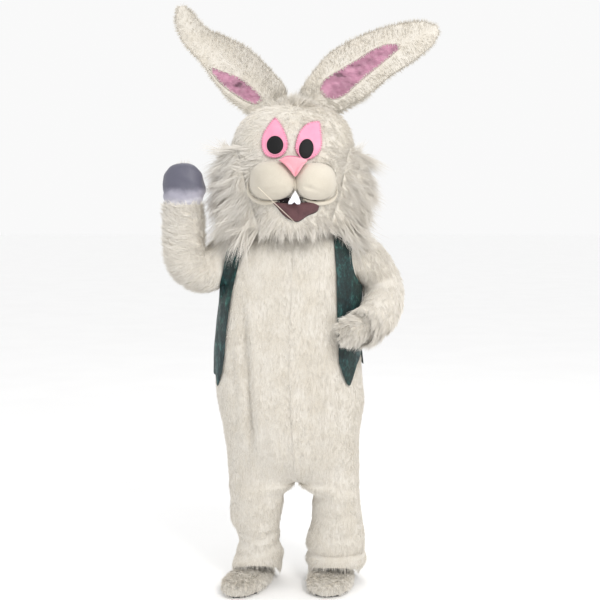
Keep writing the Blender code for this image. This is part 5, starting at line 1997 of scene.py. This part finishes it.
for e, (side, table, lining) in enumerate((("right", EAR_RIGHT, LINING_RIGHT), ("left", EAR_LEFT, LINING_LEFT))):
    rings, ks = ear_rings(table, 28)
    ends = [np.repeat(rings[n].mean(axis=0)[None], rings.shape[1], axis=0) for n in (0, -1)]
    base = closed_rings("ear_%s_body" % side, [ends[0], *rings, ends[1]], BACKING)
    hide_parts("ear_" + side)
    middle = rings.mean(axis=1, keepdims=True)
    out = np.cross(np.roll(rings, -1, axis=1) - np.roll(rings, 1, axis=1), np.gradient(rings, axis=0))
    out = units(out) * np.sign((out * (rings - middle)).sum())
    centre_line = np.array([smooth_row(table, k)[:3] for k in np.linspace(0, len(table) - 1, 60)])
    tangents = units(np.gradient(centre_line, axis=0))
    line_ks = np.linspace(0, len(table) - 1, 60)

    def ear_place(points):
        far = np.linalg.norm(points[:, None] - centre_line[None], axis=2)
        return far.argmin(axis=1)

    def ear_flow(points, normals):
        at = ear_place(points)
        return 0.45 * tangents[at] + 1.1 * units(points - centre_line[at]) + np.array([0, 0, -0.15])

    def outside_lining(points, normals):
        at = ear_place(points)
        kept = np.ones(len(points), bool)
        for n, (p, normal) in enumerate(zip(points, normals)):
            if normal[1] > -0.15:
                continue
            k = line_ks[at[n]]
            span = lining_range(lining, k)
            if span is None:
                continue
            centre, _, across, _, (wide, _, _) = ear_frame(table, k)
            s = float(np.dot(p - centre, across)) / wide
            edge = 2.5 / wide
            if span[0] + edge < s < span[1] - edge:
                kept[n] = False
        return kept

    # the pile's tint of -0.08 darkens the ear fur further: partly deeper cream, partly painted shade
    pelt(
        "ear_%s_pile" % side, [(rings, out, True)], 12500, 500 + e, ear_flow, 20.0,
        width=2.0, lift=(13, 2.5), swirl=7, clump=7, pull=0.14, keep=outside_lining, droop=0.05, vary=(0.05, 0.12), sink=1.9, tint=-0.08, material_=EAR_HAIR,
        grow=lambda p: 1.0 + 0.7 * np.clip((1872 - p[:, 2]) / 45, 0, 1),
    )
    # the satin inside the ear, gathered along its length
    first, last = lining[0][0], lining[-1][0]
    crush, pleats = waves(61 + e, 34), waves(63 + e, 15)
    outer, inner = [], []
    for k in np.linspace(first, last, 60):
        low, high = lining_range(lining, k)
        row_out, row_in = [], []
        for s in np.linspace(low, high, 15):
            base_point, face, along = ear_front(table, k, s)
            share = (s - low) / (high - low)
            inset = math.sin(math.pi * share) ** 0.6 * min(1, 5 * (k - first) / (last - first) + 0.15, 5 * (last - k) / (last - first) + 0.15)
            move = 2.2 + 1.6 * inset + inset * (2.6 * float(crush(base_point)) + 1.9 * float(pleats(base_point * np.array([1.0, 1, 1.0]))))
            pocket = math.exp(-(((k - (first + 0.7)) / 0.28) ** 2)) * math.exp(-(((share - 0.45) / 0.3) ** 2))
            move = max(move - 3.0 * pocket, 0.9)
            row_in.append(base_point + 0.4 * face)
            row_out.append(base_point + (0.4 + move) * face)
        outer.append(row_out)
        inner.append(row_in)
    lined = shell("ear_lining_%s_satin" % side, np.array(outer), np.array(inner), False, LINING)
    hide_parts("ear_lining_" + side)

    # the fur's edge, which hangs a little over the satin all round
    rng = np.random.default_rng(540 + e)
    roots, starts, ends_ = [], [], []
    for n in range(620):
        if n % 6 == 0:
            at_first = rng.random() < 0.5
            k = first - 0.02 if at_first else last + 0.02
            low, high = lining_range(lining, first if at_first else last)
            p, face, along = ear_front(table, k, rng.uniform(low - 0.02, high + 0.02))
            way = along if at_first else -along
        else:
            k = rng.uniform(first, last)
            low, high = lining_range(lining, k)
            at_low = rng.random() < 0.5
            p, face, along = ear_front(table, k, low - 0.015 if at_low else high + 0.015)
            way = np.cross(along, face) * (1 if at_low else -1)
        way = unit(way + 0.7 * rng.normal() * along)
        roots.append(p - 1.2 * face)
        starts.append(unit(0.4 * way + 1.0 * face))
        ends_.append(unit(way + 0.25 * face))
    count = 620
    hairs(
        "ear_%s_edge" % side, np.array(roots)[:count], np.array(starts)[:count], np.array(ends_)[:count],
        (7.0 + 15.0 * rng.random(620) ** 1.6)[:count], rng.uniform(1.7, 2.6, 620)[:count], rng.uniform(0.3, 0.7, 620)[:count],
        2, EAR_HAIR,
    )

# ---------------------------------------------------------------- the face


def face_rings(name, down, over):
    outer, inner, wrap = PIECES[name]
    return finer(outer, down, over, True), finer(inner, down, over, True)


def crowned(outline, back, front, rings, crown, count, round_=2.2, dents=None):
    """A crowned piece over the face with a fine smooth outline."""
    outline = np.asarray(outline, float)
    outline = spline(len(outline), max(count // len(outline), 1), True) @ outline
    middle = outline.mean(axis=0)
    outer, inner = [], []
    for n in range(rings + 1):
        share = math.sin(math.pi / 2 * n / rings)
        rise = crown * max(0.0, 1 - share**round_) ** 0.5
        row_out, row_in = [], []
        for x, h in middle + (outline - middle) * share:
            move = dents(x, h, share) if dents else 0.0
            row_in.append((x, back(x, h), h))
            row_out.append((x, front(x, h) - rise + move, h))
        outer.append(row_out)
        inner.append(row_in)
    return np.array(outer), np.array(inner)


for side, patch, eye in (("right", PATCH_RIGHT, EYE_RIGHT), ("left", PATCH_LEFT, EYE_LEFT)):
    outer, inner = crowned(patch, lambda x, h: face_y(x, h) - 3.5, lambda x, h: face_y(x, h) - 8.6, 8, 0.8, 72)
    made = shell("eye_patch_%s_felt" % side, outer, inner, True, FELT)
    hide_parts("eye_patch_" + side)
    outline = round_outline(*eye, count=36)
    outer, inner = crowned(outline, lambda x, h: face_y(x, h) - 9.2, lambda x, h: face_y(x, h) - 11.2, 10, 4.5, 72)
    made = shell("eye_%s_mesh" % side, outer, inner, True, EYE_NET)
    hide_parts("eye_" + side)
    # the felt rim turned in round the mesh, and the stitches round the patch
    rim = []
    for turn in np.linspace(0, 2 * math.pi, 49)[:-1]:
        x, h, wide, tall, tilt = eye
        tilt = math.radians(tilt)
        u, v = (wide + 1.5) * math.cos(turn), (tall + 1.5) * math.sin(turn)
        px, ph = x + u * math.cos(tilt) - v * math.sin(tilt), h + u * math.sin(tilt) + v * math.cos(tilt)
        rim.append((px, face_y(px, ph) - 10.2, ph))
    rim.append(rim[0])
    tube("eye_%s_rim" % side, [rim], [(0, 2.2), (1, 2.2)], FELT, sides=8)
    line = spline(len(patch), 8, True) @ np.array(patch, float)
    middle = line.mean(axis=0)
    steps = np.concatenate([[0], np.cumsum(np.linalg.norm(np.diff(np.vstack([line, line[:1]]), axis=0), axis=1))])
    rng = np.random.default_rng(71 if side == "right" else 72)
    stitches = []
    for d in np.arange(0, steps[-1], 8.0):
        n = min(int(np.searchsorted(steps, d, side="right")) - 1, len(line) - 1)
        here, there = line[n], line[(n + 1) % len(line)]
        at = here + (there - here) * (d - steps[n]) / max(steps[n + 1] - steps[n], 1e-6)
        over = unit(np.append(there - here, 0))[:2]
        out = np.array([over[1], -over[0]])
        if np.dot(out, at - middle) < 0:
            out = -out
        lean = rng.uniform(-0.35, 0.35)
        a, b = at - (4.6 + rng.uniform(-1.0, 1.0)) * (out + lean * over), at + 4.6 * (out - lean * over)
        points = []
        for t, lift_ in ((0, 8.4), (0.25, 10.2), (0.6, 9.6), (1, 5.5)):
            q = a + (b - a) * t
            points.append((q[0], face_y(q[0], q[1]) - lift_, q[1]))
        stitches.append(points)
    tube("eye_patch_%s_stitches" % side, stitches, [(0, 1.0), (1, 1.0)], STITCH_AND_NOSE_SHADOW, sides=5)


def pad_dents(side):
    wrinkle = waves(81 if side == "right" else 82, 48)

    def dents(x, h, share):
        edge = max(share - 0.55, 0) / 0.45
        soft = 1.6 * edge * float(wrinkle(np.array([x * 1.4, 0, h * 0.8])))
        if side == "left":
            dimple = 7.0 * math.exp(-(((x - 50) / 15) ** 2) - (((h - 1499) / 8) ** 2))
            pull_line = 3.0 * math.exp(-(((h - 1497 + 0.3 * (x - 50)) / 6) ** 2)) * math.exp(-(((x - 66) / 40) ** 2))
            return soft + dimple + pull_line
        crease = 2.5 * math.exp(-(((h - 1491 - 0.12 * (x + 80)) / 8) ** 2)) * math.exp(-(((x + 66) / 46) ** 2))
        return soft + crease
    return dents


for side, pad in (("right", PAD_RIGHT), ("left", PAD_LEFT)):
    grown = (pad[0] + (0.8 if side == "right" else -1.2), pad[1], pad[2] + (1.0 if side == "right" else 1.4), pad[3])
    outline = round_outline(*grown, 0, 40, PAD_SQUARE)
    outer, inner = crowned(outline, lambda x, h: face_y(x, h) - 6.5, lambda x, h: face_y(x, h) - 9.5, 22, pad[4], 80,
                           round_=2.3, dents=pad_dents(side))
    made = shell("muzzle_%s_pad" % side, outer, inner, True, FLEECE)
    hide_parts("muzzle_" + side)

outer, inner = crowned(MOUTH, lambda x, h: face_y(x, h) - 2.6, lambda x, h: face_y(x, h) - 4.4, 8, 0.0, 96)
made = shell("mouth_cloth", outer, inner, True, MOUTH_CLOTH)
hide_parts("mouth_lining")


def lip_dents(x, h, share):
    groove = 3.5 * math.exp(-(((x - 8 + 0.2 * (h - 1415)) / 7) ** 2)) * (1 - share)
    return groove + 1.2 * math.sin(x * 0.13 + h * 0.05) * (1 - share)


LIP_SEEN = [
    (-76, 1447), (-59, 1426), (-35, 1399), (3, 1380), (24, 1386), (46, 1401), (77, 1415),
    (86, 1431), (82, 1447), (23, 1447), (-25, 1444),
]
outer, inner = crowned(LIP_SEEN, lambda x, h: face_y(x, h) - 7.0, lambda x, h: face_y(x, h) - 9.0, 12, 11.0, 100, dents=lip_dents)
made = shell("lower_lip_fleece", outer, inner, True, LIP_CLOTH)
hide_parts("lower_lip")

outer, inner = crowned(NOSE, lambda x, h: min(near_front_y(x, h) - 3, face_y(x, h) - 12),
                       lambda x, h: min(near_front_y(x, h), -262) - 8, 14, 22.0, 80,
                       dents=lambda x, h, s: 4.0 * math.exp(-(((h - 1590 - 0.35 * (x + 30)) / 4.5) ** 2)) * math.exp(-(((x + 30) / 18) ** 2)))
outer[..., 1] = finer(outer[..., 1:2], 1, 1, True)[..., 0]
made = shell("nose_plush", outer, inner, True, NOSE_PLUSH)
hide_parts("nose")
# a raised ridge along the nose's top edge: the fold is real, its dark pink is a painted shadow line along the edge
top_line = [(-55, 1592), (-47, 1600), (-36, 1606), (-22, 1610), (0, 1609), (24, 1603), (45, 1594)]
seam = [(x, min(near_front_y(x, h - 6) - 6, -246) + 0.0, h) for x, h in top_line]
tube("nose_edge_painted_shadow", [spline(len(seam), 5, False) @ np.array(seam)], [(0, 1.2), (0.35, 2.6), (1, 1.0)], STITCH_AND_NOSE_SHADOW, sides=7)

top = TEETH[0][1]
outer, inner = crowned(TEETH, lambda x, h: min(near_front_y(x, h, 3) - 1.5, -240 - 22 * min(1, (top - h) / (top - 1435) * 1.3)),
                       lambda x, h: min(near_front_y(x, h, 3) - 4.2, -265), 6, 2.5, 10)
made = shell("teeth_felt", outer, inner, True, TEETH_FELT)
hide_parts("teeth")
groove = [(1, -268.6, 1486), (1.5, -270.4, 1474), (0.5, -270.6, 1462), (-0.5, -269.8, 1451)]
tube("teeth_seam", [spline(4, 4, False) @ np.array(groove)], [(0, 0.5), (1, 0.7)], THREAD, sides=5)

path = np.array([(x, y, h) for x, h, y in WHISKER], float)
path = spline(len(path), 8, False) @ path
made = tube("whisker_thread", [path], [(0, 1.25), (0.7, 0.95), (1, 0.5)], THREAD, sides=8)
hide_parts("whisker")

# the soft roll of fleece that runs from under the right pad to the corner of the mouth
fold = [(-168, 1520), (-170, 1496), (-160, 1472), (-140, 1455), (-112, 1446), (-84, 1447), (-62, 1452)]
fold = [(x, face_y(x, h) - 6.5, h) for x, h in fold]
made = tube("muzzle_right_fold", [spline(len(fold), 5, False) @ np.array(fold)], [(0, 1.5), (0.3, 8.0), (0.75, 8.5), (1, 2.0)], FLEECE, sides=12)
fold = [(153, 1498), (150, 1474), (136, 1456), (112, 1446), (84, 1444), (56, 1449), (30, 1460)]
fold = [(x, face_y(x, h) - 6.5, h) for x, h in fold]
made = tube("muzzle_left_fold", [spline(len(fold), 5, False) @ np.array(fold)], [(0, 1.5), (0.35, 7.5), (0.75, 8.0), (1, 2.5)], FLEECE, sides=12)
join = [(2.5, -226, 1552), (2.5, -240, 1535), (2.5, -249, 1516), (2.5, -246, 1498), (2.5, -230, 1482)]
made = tube("muzzle_join", [spline(len(join), 4, False) @ np.array(join)], [(0, 4.0), (0.5, 8.0), (1, 4.0)], FLEECE, sides=12)

# ---------------------------------------------------------------- mitts

for k, side in enumerate(("right", "left")):
    name = "mitt_" + side
    folds = waves(91 + k, 46)
    fine_folds = waves(93 + k, 20)

    def mitt_creases(points):
        h = points[..., 2]
        if side == "right":
            cuff = np.clip((1520 - h) / 60, 0, 1)
            slant = np.sin((h + 0.55 * points[..., 0]) * 0.19) + 0.7 * np.sin((h - 0.4 * points[..., 0]) * 0.31 + 1.0)
            return cuff * 1.7 * slant + 1.4 * folds(points) * np.clip((1590 - h) / 30, 0, 1)
        across = points[..., 2]
        fingers = 2.2 * np.abs(np.sin((across - 930) * 0.085)) * np.clip((232 - points[..., 0]) / 40, 0, 1)
        return 1.3 * folds(points) + 0.6 * fine_folds(points) + fingers * np.clip((points[..., 0] - 168) / 20, 0, 1)

    outer, inner, wrap, _ = fine_piece(name, 4, 5, mitt_creases)
    if side == "right":
        made = shell(name + "_cloth", outer, inner, wrap, SATIN_WHITE)
    else:
        made = shell(name + "_cloth", outer, inner, wrap, BACKING)
    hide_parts(name)
    # the back of each mitt is fur; the right mitt's palm is bare satin
    if side == "right":
        back = lambda p, n: (n[:, 1] > 0.5) & (p[:, 2] > 1440)
        nap = lambda p, n: np.tile([0.0, 0.0, 1.0], (len(p), 1))
    else:
        back = lambda p, n: (n[:, 1] < 0.55) & (n[:, 0] > -0.75)
        nap = lambda p, n: np.tile([-0.75, -0.2, -0.55], (len(p), 1))
    pile = pelt(
        name + "_pile", [(outer, away(outer, inner), wrap)], 2000 if side == "right" else 5200, 600 + k, nap, 21.0 if side == "right" else 26.0,
        width=2.2, lift=(24, 8), swirl=22, clump=14, pull=0.5, keep=back, droop=0.4,
    )

# ---------------------------------------------------------------- vest

vest_slow, vest_fast, vest_fine = waves(95, 120), waves(96, 48), waves(97, 22)


def vest_creases(points):
    upright = points * np.array([1.0, 1.0, 0.38])
    return np.clip(1.4 * vest_slow(upright) + 1.25 * vest_fast(upright) + 0.5 * vest_fine(upright) + 1.0, -2.2, 5.0)


for name in ("vest_front_right", "vest_front_left", "vest_back"):
    outer, inner, wrap, _ = fine_piece(name, 5 if "front" in name else 4, 6 if "front" in name else 4, vest_creases)
    made = shell(name + "_velvet", outer, inner, wrap, VELVET_PILE)
    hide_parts(name)
    if name == "vest_back":
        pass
    elif name == "vest_front_left":
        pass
    else:
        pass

for side in ("right", "left"):
    node = bpy.data.objects["sole_" + side] if "sole_" + side in bpy.data.objects else frame["nodes"]["sole_" + side]
    node.data.materials.clear()
    node.data.materials.append(RUBBER)

# ---------------------------------------------------------------- stage


def plain(name, colour, rough):
    made, nodes, links, shader = new_material(name)
    grain = noise(nodes, links, 2.0, 2)
    tone = ramp(nodes, [(0.3, tuple(c * 0.985 for c in colour)), (0.7, colour)])
    links.new(grain.outputs["Fac"], tone.inputs["Fac"])
    links.new(tone.outputs["Color"], shader.inputs["Base Color"])
    shader.inputs["Roughness"].default_value = rough
    return made


floor_mesh = bpy.data.meshes.new("floor")
wide = 60.0
floor_mesh.from_pydata(
    [(x * wide, y * wide, -NECK / 1000) for x, y in ((-1, -1), (1, -1), (1, 1), (-1, 1))], [], [(0, 1, 2, 3)],
)
floor = bpy.data.objects.new("floor", floor_mesh)
floor.data.materials.append(plain("floor_pale", (0.99, 0.99, 0.99), 0.95))
bpy.context.scene.collection.objects.link(floor)

world = bpy.data.worlds.new("studio")
bpy.context.scene.world = world
world.use_nodes = True
world.node_tree.nodes["Background"].inputs["Color"].default_value = (0.99, 0.99, 0.99, 1)
world.node_tree.nodes["Background"].inputs["Strength"].default_value = 1.0


def area_light(name, where, aim, size, power, colour):
    light = bpy.data.lights.new(name, "AREA")
    light.shape = "RECTANGLE"
    light.size, light.size_y = size
    light.energy = power
    light.color = colour
    made = bpy.data.objects.new(name, light)
    made.location = where
    made.rotation_euler = (Vector(aim) - Vector(where)).to_track_quat("-Z", "Y").to_euler()
    bpy.context.scene.collection.objects.link(made)
    return made


area_light("key", (1.7, -3.3, 2.3), (0, 0, -0.1), (1.5, 1.5), 92, (1.0, 0.975, 0.94))
area_light("top", (0.6, 1.4, 3.6), (0, 0, 0.2), (2.0, 1.6), 30, (1.0, 1.0, 1.0))

camera_data = bpy.data.cameras.new("camera")
camera_data.lens = 66.72
camera_data.sensor_width = 36
camera = bpy.data.objects.new("camera", camera_data)
camera.location = (0.019, -4.200, 0.060)
camera.rotation_euler = (math.radians(85.38), 0, 0)
bpy.context.scene.collection.objects.link(camera)
bpy.context.scene.camera = camera

scene = bpy.context.scene
scene.view_settings.view_transform = "Standard"
scene.view_settings.look = "None"
scene.view_settings.exposure = -0.06
scene.view_settings.gamma = 1.0
